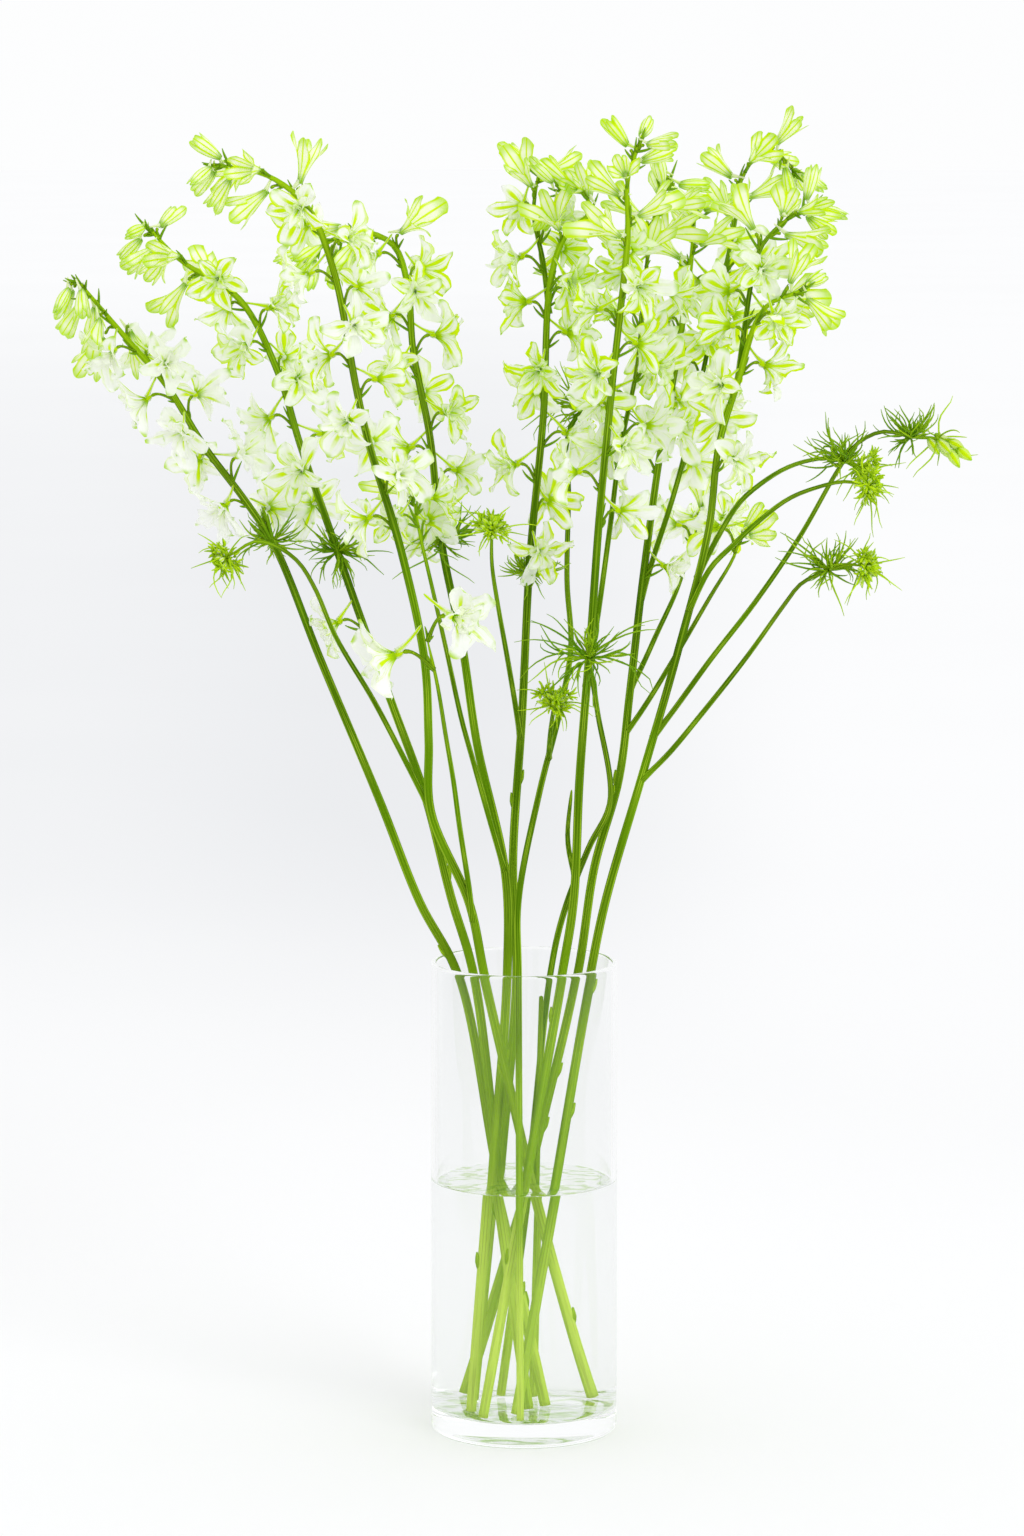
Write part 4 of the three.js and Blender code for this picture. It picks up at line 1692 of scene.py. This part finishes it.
@dataclass
class FlowerStem:
    """One cut stem: its stalks, petals, buds and thread leaves, grown by the rule of its solid."""

    name: str
    route: Route
    seed: int
    finishes: dict[Slot, Material]
    stalk_open: float = 15 * MM
    stalk_bud: float = 12 * MM
    stalk_shortening: float = 5 * MM
    nod: float = 0.3
    spike_crowding: float = 1.6
    tip_crowding: float = 1.35
    ring_pace: float = 5 * MM
    thread_length: float = 22 * MM
    thread_lift: float = 0.35
    hanging_share: float = 0.3  # how many of a tuft's outer leaves hang down
    hanging_length: float = 1.5  # how much longer those are
    tip_taper: float = 0.35  # how much thinner a flowering tip is
    foot_flare: float = 0.3  # how much thicker a shoot is where it leaves its stem
    shoot_start: float = 0.42  # the age of a shoot's foot, as a share of a stem's length
    drafts: dict[Slot, MeshDraft] = field(default_factory=dict)

    def build(self) -> None:
        """Makes the stem's pieces, one for each finish that it uses."""
        self.drafts = {slot: MeshDraft() for slot in (Slot.STEM, Slot.PETAL, Slot.BUD, Slot.LEAF)}
        width = THIN_WIDTH if self.route.thin else STEM_WIDTH
        self._grow(self.route, self._stem_line(self.route), width, self.seed)
        for k, shoot in enumerate(self.route.shoots):
            line = MiddleLine([Vector(p) * MM for p in shoot.line])
            self._grow(shoot, line, SHOOT_WIDTH, self.seed + 200 * (k + 1), is_shoot=True)
        endings = {Slot.STEM: "stalks", Slot.PETAL: "petals", Slot.BUD: "buds", Slot.LEAF: "threads"}
        for slot, draft in self.drafts.items():
            if draft.count:
                piece = draft.build(f"{self.name}_{endings[slot]}", self.finishes[slot])
                hand_over(piece, self.name, slot)

    @staticmethod
    def _stem_line(route: Route) -> MiddleLine:
        """The middle line of a stem that stands in the vase: straight from its foot to the rim."""
        foot, rim, *rest = [Vector(p) * MM for p in route.line]
        return MiddleLine([foot, foot.lerp(rim, 0.55), rim, *rest])

    def _grow(self, route: Route, line: MiddleLine, width: Width, seed: int, is_shoot: bool = False) -> None:
        """Adds what one route holds.

        Args:
            route: The route.
            line: Its middle line.
            width: How thick it is.
            seed: The number of its draws.
            is_shoot: Whether it grows out of a stem.
        """
        self._add_stalk(line, width, is_shoot, route)
        for height, turn in route.nodes:
            self._add_knot(line, width, height * MM, turn)
        for k, spike in enumerate(route.spikes):
            self._add_spike(line, spike, seed + 100 * k)
        for k, tuft in enumerate(route.tufts):
            u = 1 - tuft.below * MM / line.length
            self._add_tuft(line.point(u), tuft.size, seed + k)
            if tuft.upright:
                self._add_upright_leaves(line.point(u), line.tangent(u), tuft.size, seed + k)
        if route.head is not Head.NONE:
            self._add_head(line, route.head, seed)

    def _radius(self, width: Width, u: float) -> float:
        """The radius of a stem at a share of its length: it narrows most towards its tip."""
        share = 1 - (1 - u**1.6) ** (1 / self.tip_crowding)
        return width.root + (width.top - width.root) * share

    def _add_stalk(self, line: MiddleLine, width: Width, is_shoot: bool, route: Route) -> None:
        """Adds the green stalk of a stem or shoot.

        Args:
            line: Its middle line.
            width: How thick it is.
            is_shoot: Whether it grows out of a stem.
            route: What grows on it.
        """
        is_bare = not (route.spikes or route.tufts or route.shoots or is_shoot)
        fades = bool(route.spikes) or is_shoot
        steps = max(4, round(line.length / self.ring_pace))
        rounding = [1 - 1.2 * MM / line.length, 1 - 0.4 * MM / line.length, 1.0]
        shares = [k / steps for k in range(steps)] + rounding
        radii = [self._radius(width, u) for u in shares]
        if fades:
            radii = [r * (1 - self.tip_taper * smooth_step(0.92, 1.0, u)) for r, u in zip(radii, shares)]
        if is_shoot:
            flares = [self.foot_flare * (1 - smooth_step(0.0, 0.06, u)) for u in shares]
            radii = [r * (1 + flare) for r, flare in zip(radii, flares)]
        if is_bare or is_shoot:
            radii[-2:] = [radii[-2] * 0.8, radii[-1] * 0.35]
        tip_lime = 0.6 if route.spikes else 0.3
        limes = [float(tip_lime * smooth_step(0.78, 1.0, u)) if fades else 0.0 for u in shares]
        start = self.shoot_start if is_shoot else 0.0
        alongs = [start + (1 - start) * u for u in shares]
        if is_bare:
            alongs = [0.35 * u for u in shares]
        middles = [line.point(u) for u in shares]
        add_tube(self.drafts[Slot.STEM], middles, radii, width.sides, limes, alongs, width.ribs)

    def _add_knot(self, line: MiddleLine, width: Width, height: float, turn: float) -> None:
        """Adds a knot, where a leaf was cut off: a low swelling that ends in a short point.

        Args:
            line: The stem's middle line.
            width: How thick the stem is.
            height: Its height above the table.
            turn: Where it stands round the stem, in radians.
        """
        heights = [line.point(k / 200).z for k in range(201)]
        u = float(np.interp(height, heights, np.linspace(0.0, 1.0, 201)))
        middle, axis = line.point(u), line.tangent(u)
        radius = self._radius(width, u)
        out = around_axis(axis, turn)
        foot = middle + out * radius * 0.45 - axis * radius * 2.4
        shares = [0.0, 0.3, 0.55, 0.75, 0.9, 1.0]
        widths = [0.15, 0.5, 0.62, 0.46, 0.3, 0.16]
        reach = axis * radius * 4.6 + out * radius * 0.85
        points = [foot + reach * s for s in shares]
        radii = [w * radius for w in widths]
        limes = [0.05, 0.05, 0.1, 0.2, 0.3, 0.35]
        add_tube(self.drafts[Slot.STEM], points, radii, 8, limes, [0.3 * u + 0.2] * len(shares))

    def _add_spike(self, line: MiddleLine, spike: Spike, seed: int) -> None:
        """Adds the flowers and buds of a spike, the open ones lowest.

        Args:
            line: The middle line of its stem.
            spike: The spike.
            seed: The number of its draws.
        """
        count = spike.opened + spike.closed
        for i in range(count):
            share = i / (count - 1) if count > 1 else 0.0
            u = 1 - (spike.length * MM * (1 - share) ** self.spike_crowding) / line.length
            middle, axis = line.point(u), line.tangent(u)
            out = around_axis(axis, spike.turn + i * GOLDEN_ANGLE + 0.5 * (draw(seed + i) - 0.5))
            is_open = i < spike.opened
            stalk = self.stalk_open if is_open else self.stalk_bud - self.stalk_shortening * share
            reach = stalk * spike.size
            hang = Vector((0.0, 0.0, 0.0 if is_open else -spike.droop))
            way = unit(out + axis * (0.75 if is_open else 1.1) + hang)
            end = middle + way * reach * (0.85 + 0.3 * draw(seed + 50 + i))
            facing = out + axis * (0.15 if is_open else 0.8) + hang * 1.2
            facing.z -= self.nod
            place = self._frame(end, facing, axis)
            self._add_flower_stalk(middle, axis, out, end, place, seed + i, spike.size)
            if is_open:
                self._add_flower(spike, i, seed, place)
            else:
                self._add_bud(spike, i, seed, place)

    @staticmethod
    def _frame(at: Vector, facing: Vector, up: Vector) -> Matrix:
        """The frame of a flower.

        Args:
            at: Where it is.
            facing: Where it faces, which is its +Z.
            up: Where its +Y points, as far as the first allows.

        Returns:
            The frame.
        """
        z = facing.normalized()
        x = up.cross(z).normalized()
        y = z.cross(x)
        turned = Matrix((x, y, z)).transposed().to_4x4()
        return Matrix.Translation(at) @ turned

    def _add_flower(self, spike: Spike, i: int, seed: int, place: Matrix) -> None:
        """Adds an open flower, the whiter the lower it stands on its spike.

        Args:
            spike: The spike.
            i: Which of its flowers and buds it is, counted from below.
            seed: The number of the spike's draws.
            place: The flower's frame.
        """
        ripeness = 1 - 0.35 * i / spike.opened
        youth = i / max(6, spike.opened - 1)
        Flower(
            size=spike.size * (0.8 + 0.2 * ripeness),
            spread=0.75 + 0.45 * ripeness,
            lime=self.route.lime * (0.34 + 0.36 * youth**1.25 * spread_draw(seed + 90 + i, 0.1, 2.1)),
            seed=seed + 7 * i,
        ).add_to(self.drafts[Slot.PETAL], place)

    def _add_bud(self, spike: Spike, i: int, seed: int, place: Matrix) -> None:
        """Adds a bud, the greener and the more closed the nearer it is to the tip.

        Args:
            spike: The spike.
            i: Which of its flowers and buds it is, counted from below.
            seed: The number of the spike's draws.
            place: The bud's frame.
        """
        youth = (i - spike.opened) / max(1, spike.closed)
        Bud(
            size=spike.size * (1.2 - 0.3 * youth),
            opening=max(0.12, 1.0 - 0.9 * youth) * spread_draw(seed + 95 + i, 0.7, 1.0),
            lime=self.route.lime * (0.04 + 0.34 * youth * spread_draw(seed + 96 + i, 0.0, 2.2)),
            seed=seed + 7 * i,
        ).add_to(self.drafts[Slot.BUD], place)

    def _add_flower_stalk(
        self, middle: Vector, axis: Vector, out: Vector, end: Vector, place: Matrix, seed: int, size: float
    ) -> None:
        """Adds the stalk of one flower, with the small leaf under it.

        Args:
            middle: Where it leaves its stem.
            axis: The stem's direction there.
            out: The direction in which it leaves.
            end: Where its flower is.
            place: The flower's frame.
            seed: The number of its draws.
            size: The flower's size.
        """
        forward = place.to_3x3() @ Vector((0.0, 0.0, 1.0))
        reach = (end - middle).length
        knee = middle + (axis * 0.75 + out * 0.5) * reach * 0.5
        back = end - forward * 2.2 * MM * size
        near = back - forward * (reach * 0.22 + 1.0 * MM)
        points = []
        shares = [k / 9 for k in range(10)]
        for s in shares:
            lower = middle * (1 - s) ** 3 + knee * 3 * s * (1 - s) ** 2
            points.append(lower + near * 3 * s * s * (1 - s) + back * s**3)
        swell = [1.15, 0.95, 0.82, 0.75, 0.72, 0.7, 0.72, 0.82, 1.0, 0.6]
        radii = [w * MM * size for w in swell]
        limes = [0.02 + 0.35 * s * s for s in shares]
        add_tube(self.drafts[Slot.STEM], points, radii, 8, limes, [0.85] * len(shares))
        leaf = self.drafts[Slot.LEAF]
        for k in range(2):
            bract = unit(out * (0.7 - 0.5 * k) + axis * (0.5 + 0.5 * k) + Vector((0.0, 0.0, -0.2)))
            length = (5.0 + 10.0 * draw(seed + 910 + 5 * k) ** 1.5) * MM
            sway = spread_draw(seed + 920 + k, -0.5, 0.5)
            Thread(middle, bract, length, 0.8 * MM, rise=0.25, sway=sway, lime=0.1).add_to(leaf)
        for k, side in ((5, -1), (6, 1)):
            scale = unit(out.cross(axis) * side * 0.8 + unit(points[k + 1] - points[k]))
            length = spread_draw(seed + 930 + k, 1.5, 3.0) * MM
            Thread(points[k], scale, length, 0.3 * MM, lime=0.7, steps=4).add_to(leaf)

    def _add_tuft(self, at: Vector, size: float, seed: int) -> None:
        """Adds a whorl of forked thread leaves round a point of a stem.

        Args:
            at: The point.
            size: How large the leaves are.
            seed: The number of its draws.
        """
        for k, out in enumerate(ICOSAHEDRON_WAYS):
            if out.z <= -0.5 or draw(seed + k) >= 0.75:
                continue
            reach = self.thread_length * size * (0.9 + 0.6 * draw(seed + k + 30))
            hangs = draw(seed + k + 55) < self.hanging_share
            lift = self.thread_lift * spread_draw(seed + k + 50, *((-2.6, -0.8) if hangs else (0.7, 2.4)))
            flat = unit(Vector((out.x, out.y, 0.4 * out.z)))
            longer = reach * (self.hanging_length if hangs else 1.0)
            self._add_forked_leaf(at, flat, longer, lift, seed + 40 + 5 * k)
            for turn, mark in ((0.5, 240), (-0.7, 440)):
                beside = out.copy()
                beside.rotate(Quaternion(around_axis(out, 6.28 * draw(seed + k + 60 + mark)), turn))
                rise = spread_draw(seed + k + 70 + mark, -1.1, 0.7)
                shorter = reach * spread_draw(seed + k + 80 + mark, 0.45, 0.95)
                self._add_forked_leaf(at, beside, shorter, rise, seed + mark + 5 * k)

    def _add_upright_leaves(self, at: Vector, axis: Vector, size: float, seed: int) -> None:
        """Adds the thick young leaves that stand along the stem in the middle of a tuft.

        Args:
            at: Where they grow.
            axis: The stem's direction there.
            size: How large they are.
            seed: The number of their draws.
        """
        leaf = self.drafts[Slot.LEAF]
        for i in range(7):
            out = around_axis(axis, i * GOLDEN_ANGLE)
            way = unit(axis + out * spread_draw(seed + 950 + i, 0.1, 0.4))
            length = self.thread_length * size * spread_draw(seed + 960 + i, 0.7, 1.1)
            sway = spread_draw(seed + 970 + i, -0.2, 0.2)
            Thread(at + out * MM, way, length, 0.95 * MM, rise=0.1, sway=sway, lime=0.1).add_to(leaf)

    def _add_forked_leaf(self, at: Vector, out: Vector, reach: float, rise: float, seed: int) -> None:
        """Adds one thread leaf that forks.

        Args:
            at: Where it grows.
            out: The direction in which it leaves.
            reach: Its length.
            rise: How far its tip bends up, as a share of its length.
            seed: The number of its draws.
        """
        leaf = self.drafts[Slot.LEAF]
        lime = spread_draw(seed + 1, 0.0, 0.5)
        sway = spread_draw(seed + 2, -0.75, 0.75)
        curl = spread_draw(seed + 11, -0.16, 0.16)
        main = Thread(at, out, reach, 0.58 * MM, rise=rise, sway=sway, lime=lime, curl=curl)
        main.add_to(leaf)
        for k, side in enumerate((-1, 1)):
            fork = main.point(spread_draw(seed + 3 + k, 0.08, 0.4))
            spin = Quaternion(around_axis(out, spread_draw(seed + 5 + k, 0.0, math.pi)), side * 0.38)
            way = out.copy()
            way.rotate(spin)
            length = reach * spread_draw(seed + 7 + k, 0.45, 0.8)
            bend = rise * spread_draw(seed + 9 + k, 0.6, 1.6)
            Thread(fork, way, length, 0.45 * MM, rise=bend, sway=-sway, lime=lime, curl=-curl).add_to(leaf)

    def _add_head(self, line: MiddleLine, head: Head, seed: int) -> None:
        """Adds the head at the end of a shoot: small buds with a dense brush of thread leaves.

        Args:
            line: The shoot's middle line.
            head: What kind of head it is.
            seed: The number of its draws.
        """
        tip, axis = line.point(1.0), line.tangent(1.0)
        if head is Head.LONG:
            self._add_long_buds(tip, axis, seed)
            self._add_brush(tip - axis * 16 * MM, axis, LONG_BRUSH, seed + 60)
        else:
            self._add_small_buds(tip, axis, seed)
            for k in range(6):
                out = around_axis(axis, 1.25 * k + draw(seed + 70 * k))
                aside = spread_draw(seed + 70 * k + 1, 3.5, 8.0) if k else 0.0
                middle = tip + (out * aside + axis * spread_draw(seed + 70 * k + 2, -3.0, 1.0)) * MM
                way = unit(axis + out * 0.12 * aside)
                self._add_brush(middle, way, BUD_BRUSH, seed + 60 + 70 * k)
            self._add_brush(tip - axis * 3 * MM, axis, TIGHT_BRUSH, seed + 500)

    def _add_brush(self, at: Vector, axis: Vector, brush: Brush, seed: int) -> None:
        """Adds the thread leaves of a brush.

        Args:
            at: Where they grow.
            axis: The direction of the shoot.
            brush: The brush.
            seed: The number of their draws.
        """
        for i in range(brush.count):
            mark = seed + 3 * i
            forward = 1.0 - 1.5 * (i + 0.5) / brush.count
            out = around_axis(axis, i * GOLDEN_ANGLE + spread_draw(mark + 7, -0.5, 0.5))
            way = unit(axis * forward + out * math.sqrt(max(0.0, 1 - forward * forward)))
            length = spread_draw(mark, *brush.lengths)
            rise = spread_draw(mark + 1, *brush.rises)
            sway = spread_draw(mark + 2, -0.8, 0.8)
            lime = spread_draw(mark + 4, 0.4, 1.0)
            foot = at + way * MM + axis * spread_draw(mark + 8, -1.5, 1.0) * MM
            foot = foot + out * brush.width * math.sqrt(draw(mark + 9))
            curl = spread_draw(mark + 10, -0.15, 0.15)
            thread = Thread(foot, way, length, brush.radius, rise, sway, lime, steps=6, curl=curl)
            thread.add_to(self.drafts[Slot.LEAF])

    def _add_small_buds(self, tip: Vector, axis: Vector, seed: int) -> None:
        """Adds the crowd of small pointed buds of a tight head.

        Args:
            tip: The end of its shoot.
            axis: The shoot's direction there.
            seed: The number of their draws.
        """
        count = 22
        for i in range(count):
            share = i / (count - 1)
            out = around_axis(axis, i * GOLDEN_ANGLE)
            foot = tip + axis * 4 * MM * (share - 0.9) + out * 5 * MM * (1 - share)
            way = unit(out * (1.3 - 0.9 * share) + axis * (0.3 + 0.5 * share))
            length = spread_draw(seed + 30 + i, 4.5, 7.0) * MM
            self._add_plain_bud(foot, way, length, 1.1 * MM, 0.3 + 0.4 * share)

    def _add_long_buds(self, tip: Vector, axis: Vector, seed: int) -> None:
        """Adds the few long buds that hang together at the end of the longest shoot.

        Args:
            tip: The end of its shoot.
            axis: The shoot's direction there.
            seed: The number of their draws.
        """
        count = 8
        down = Vector((0.0, 0.0, -0.45))
        for i in range(count):
            share = i / (count - 1)
            out = around_axis(axis, i * GOLDEN_ANGLE)
            foot = tip - axis * (22 - 16 * share) * MM + out * 1.6 * MM
            way = unit(axis + out * spread_draw(seed + 30 + i, 0.15, 0.5) + down)
            length = spread_draw(seed + 40 + i, 11.0, 15.0) * MM
            self._add_plain_bud(foot, way, length, 2.5 * MM, 0.45 + 0.2 * share)

    def _add_plain_bud(self, foot: Vector, way: Vector, length: float, radius: float, lime: float) -> None:
        """Adds one small closed bud.

        Args:
            foot: Where it grows.
            way: Where it points.
            length: Its length.
            radius: Its greatest radius.
            lime: How lime it is.
        """
        shares = [0.0, 0.12, 0.3, 0.5, 0.7, 0.88, 1.0]
        widths = [0.35, 0.55, 0.9, 1.0, 0.8, 0.45, 0.12]
        points = [foot + way * length * (0.1 + 0.9 * s) for s in shares]
        add_tube(self.drafts[Slot.BUD], points, [w * radius for w in widths], 8, [lime] * 7, shares, ribs=4)


def icosahedron_ways() -> list[Vector]:
    """The ways in which a tuft's leaves point.

    Returns:
        The directions of an icosahedron's faces, in the order in which the leaves grow.
    """
    t = (1 + math.sqrt(5)) / 2
    corners = [
        (-1, t, 0), (1, t, 0), (-1, -t, 0), (1, -t, 0), (0, -1, t), (0, 1, t),
        (0, -1, -t), (0, 1, -t), (t, 0, -1), (t, 0, 1), (-t, 0, -1), (-t, 0, 1),
    ]
    faces = [
        (0, 11, 5), (0, 5, 1), (0, 1, 7), (0, 7, 10), (0, 10, 11), (1, 5, 9), (5, 11, 4), (11, 10, 2),
        (10, 7, 6), (7, 1, 8), (3, 9, 4), (3, 4, 2), (3, 2, 6), (3, 6, 8), (3, 8, 9), (4, 9, 5),
        (2, 4, 11), (6, 2, 10), (8, 6, 7), (9, 8, 1),
    ]
    return [sum((Vector(corners[k]) for k in face), Vector()).normalized() for face in faces]


ICOSAHEDRON_WAYS = icosahedron_ways()


# ---- Studio ----------------------------------------------------------------------------------------


@dataclass
class Studio:
    """The pale floor, the soft lights and the camera."""

    camera_place: Point = (-0.00648, -2.89814, 0.74048)
    camera_pitch: float = -7.5  # degrees above the horizon
    focal_pixels: float = 5500.0  # over the long side of the picture
    long_side: float = 1536.0
    sensor: float = 36.0
    backdrop: Colour = (0.982, 0.986, 0.99)  # what stands behind the floor's far edge
    sky: Colour = (1.015, 1.02, 1.03)  # what lights the scene from all round
    sun_way: Point = (0.85, -1.05, 0.78)  # where the main light comes from
    sun_strength: float = 0.8
    sun_spread: float = 32.0  # degrees
    floor_radius: float = 30.0
    floor_sides: int = 96

    def build(self) -> None:
        """Sets the studio up."""
        self._add_camera()
        self._add_sky()
        self._add_floor()
        self._add_sun()
        scene = bpy.context.scene
        scene.view_settings.view_transform = "Standard"
        scene.cycles.transparent_max_bounces = 24
        scene.cycles.transmission_bounces = 16
        scene.cycles.glossy_bounces = 16
        scene.cycles.diffuse_bounces = 8
        scene.cycles.max_bounces = 32

    def _add_camera(self) -> None:
        """Adds the camera, at the angle from which the bouquet is seen."""
        data = bpy.data.cameras.new("camera")
        data.sensor_width = self.sensor
        data.lens = self.focal_pixels / self.long_side * self.sensor
        camera = bpy.data.objects.new("camera", data)
        camera.location = self.camera_place
        camera.rotation_euler = (math.radians(90 + self.camera_pitch), 0.0, 0.0)
        bpy.context.scene.collection.objects.link(camera)
        bpy.context.scene.camera = camera

    def _add_sky(self) -> None:
        """Lights the scene evenly from all round, before a backdrop as pale as the floor."""
        world = bpy.data.worlds.new("studio_sky")
        world.use_nodes = True
        tree = world.node_tree
        light = tree.nodes["Background"]
        light.inputs["Color"].default_value = (*self.sky, 1.0)
        backdrop = tree.nodes.new("ShaderNodeBackground")
        backdrop.inputs["Color"].default_value = (*self.backdrop, 1.0)
        path = tree.nodes.new("ShaderNodeLightPath")
        mixed = tree.nodes.new("ShaderNodeMixShader")
        tree.links.new(path.outputs["Is Camera Ray"], mixed.inputs[0])
        tree.links.new(light.outputs[0], mixed.inputs[1])
        tree.links.new(backdrop.outputs[0], mixed.inputs[2])
        tree.links.new(mixed.outputs[0], tree.nodes["World Output"].inputs["Surface"])
        bpy.context.scene.world = world

    def _add_floor(self) -> None:
        """Adds the floor as one wide disc."""
        turns = [2 * math.pi * k / self.floor_sides for k in range(self.floor_sides)]
        rim = [(self.floor_radius * math.cos(a), self.floor_radius * math.sin(a), 0.0) for a in turns]
        floor = new_piece("floor", rim, [list(range(len(rim)))], FloorFinish().material())

    def _add_sun(self) -> None:
        """Adds the main light: a wide soft sun from the right, the front and above."""
        data = bpy.data.lights.new("sun", "SUN")
        data.energy = self.sun_strength
        data.angle = math.radians(self.sun_spread)
        sun = bpy.data.objects.new("sun", data)
        sun.rotation_euler = Vector(self.sun_way).to_track_quat("Z", "Y").to_euler()
        bpy.context.scene.collection.objects.link(sun)


def main() -> None:
    """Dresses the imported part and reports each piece."""
    logging.basicConfig(level=logging.INFO, format="%(name)s: %(message)s")
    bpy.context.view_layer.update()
    Studio().build()
    vase = CylinderVase()
    vase.build()
    StandingWater(vase).build()
    plant_finishes = (StemFinish(), PetalFinish(), BudFinish(), LeafFinish())
    finishes = {finish.slot: finish.material() for finish in plant_finishes}
    for k, (name, route) in enumerate(STEMS.items()):
        FlowerStem(name, route, 1000 * (k + 1), finishes).build()
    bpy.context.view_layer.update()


if __name__ == "__main__":
    main()
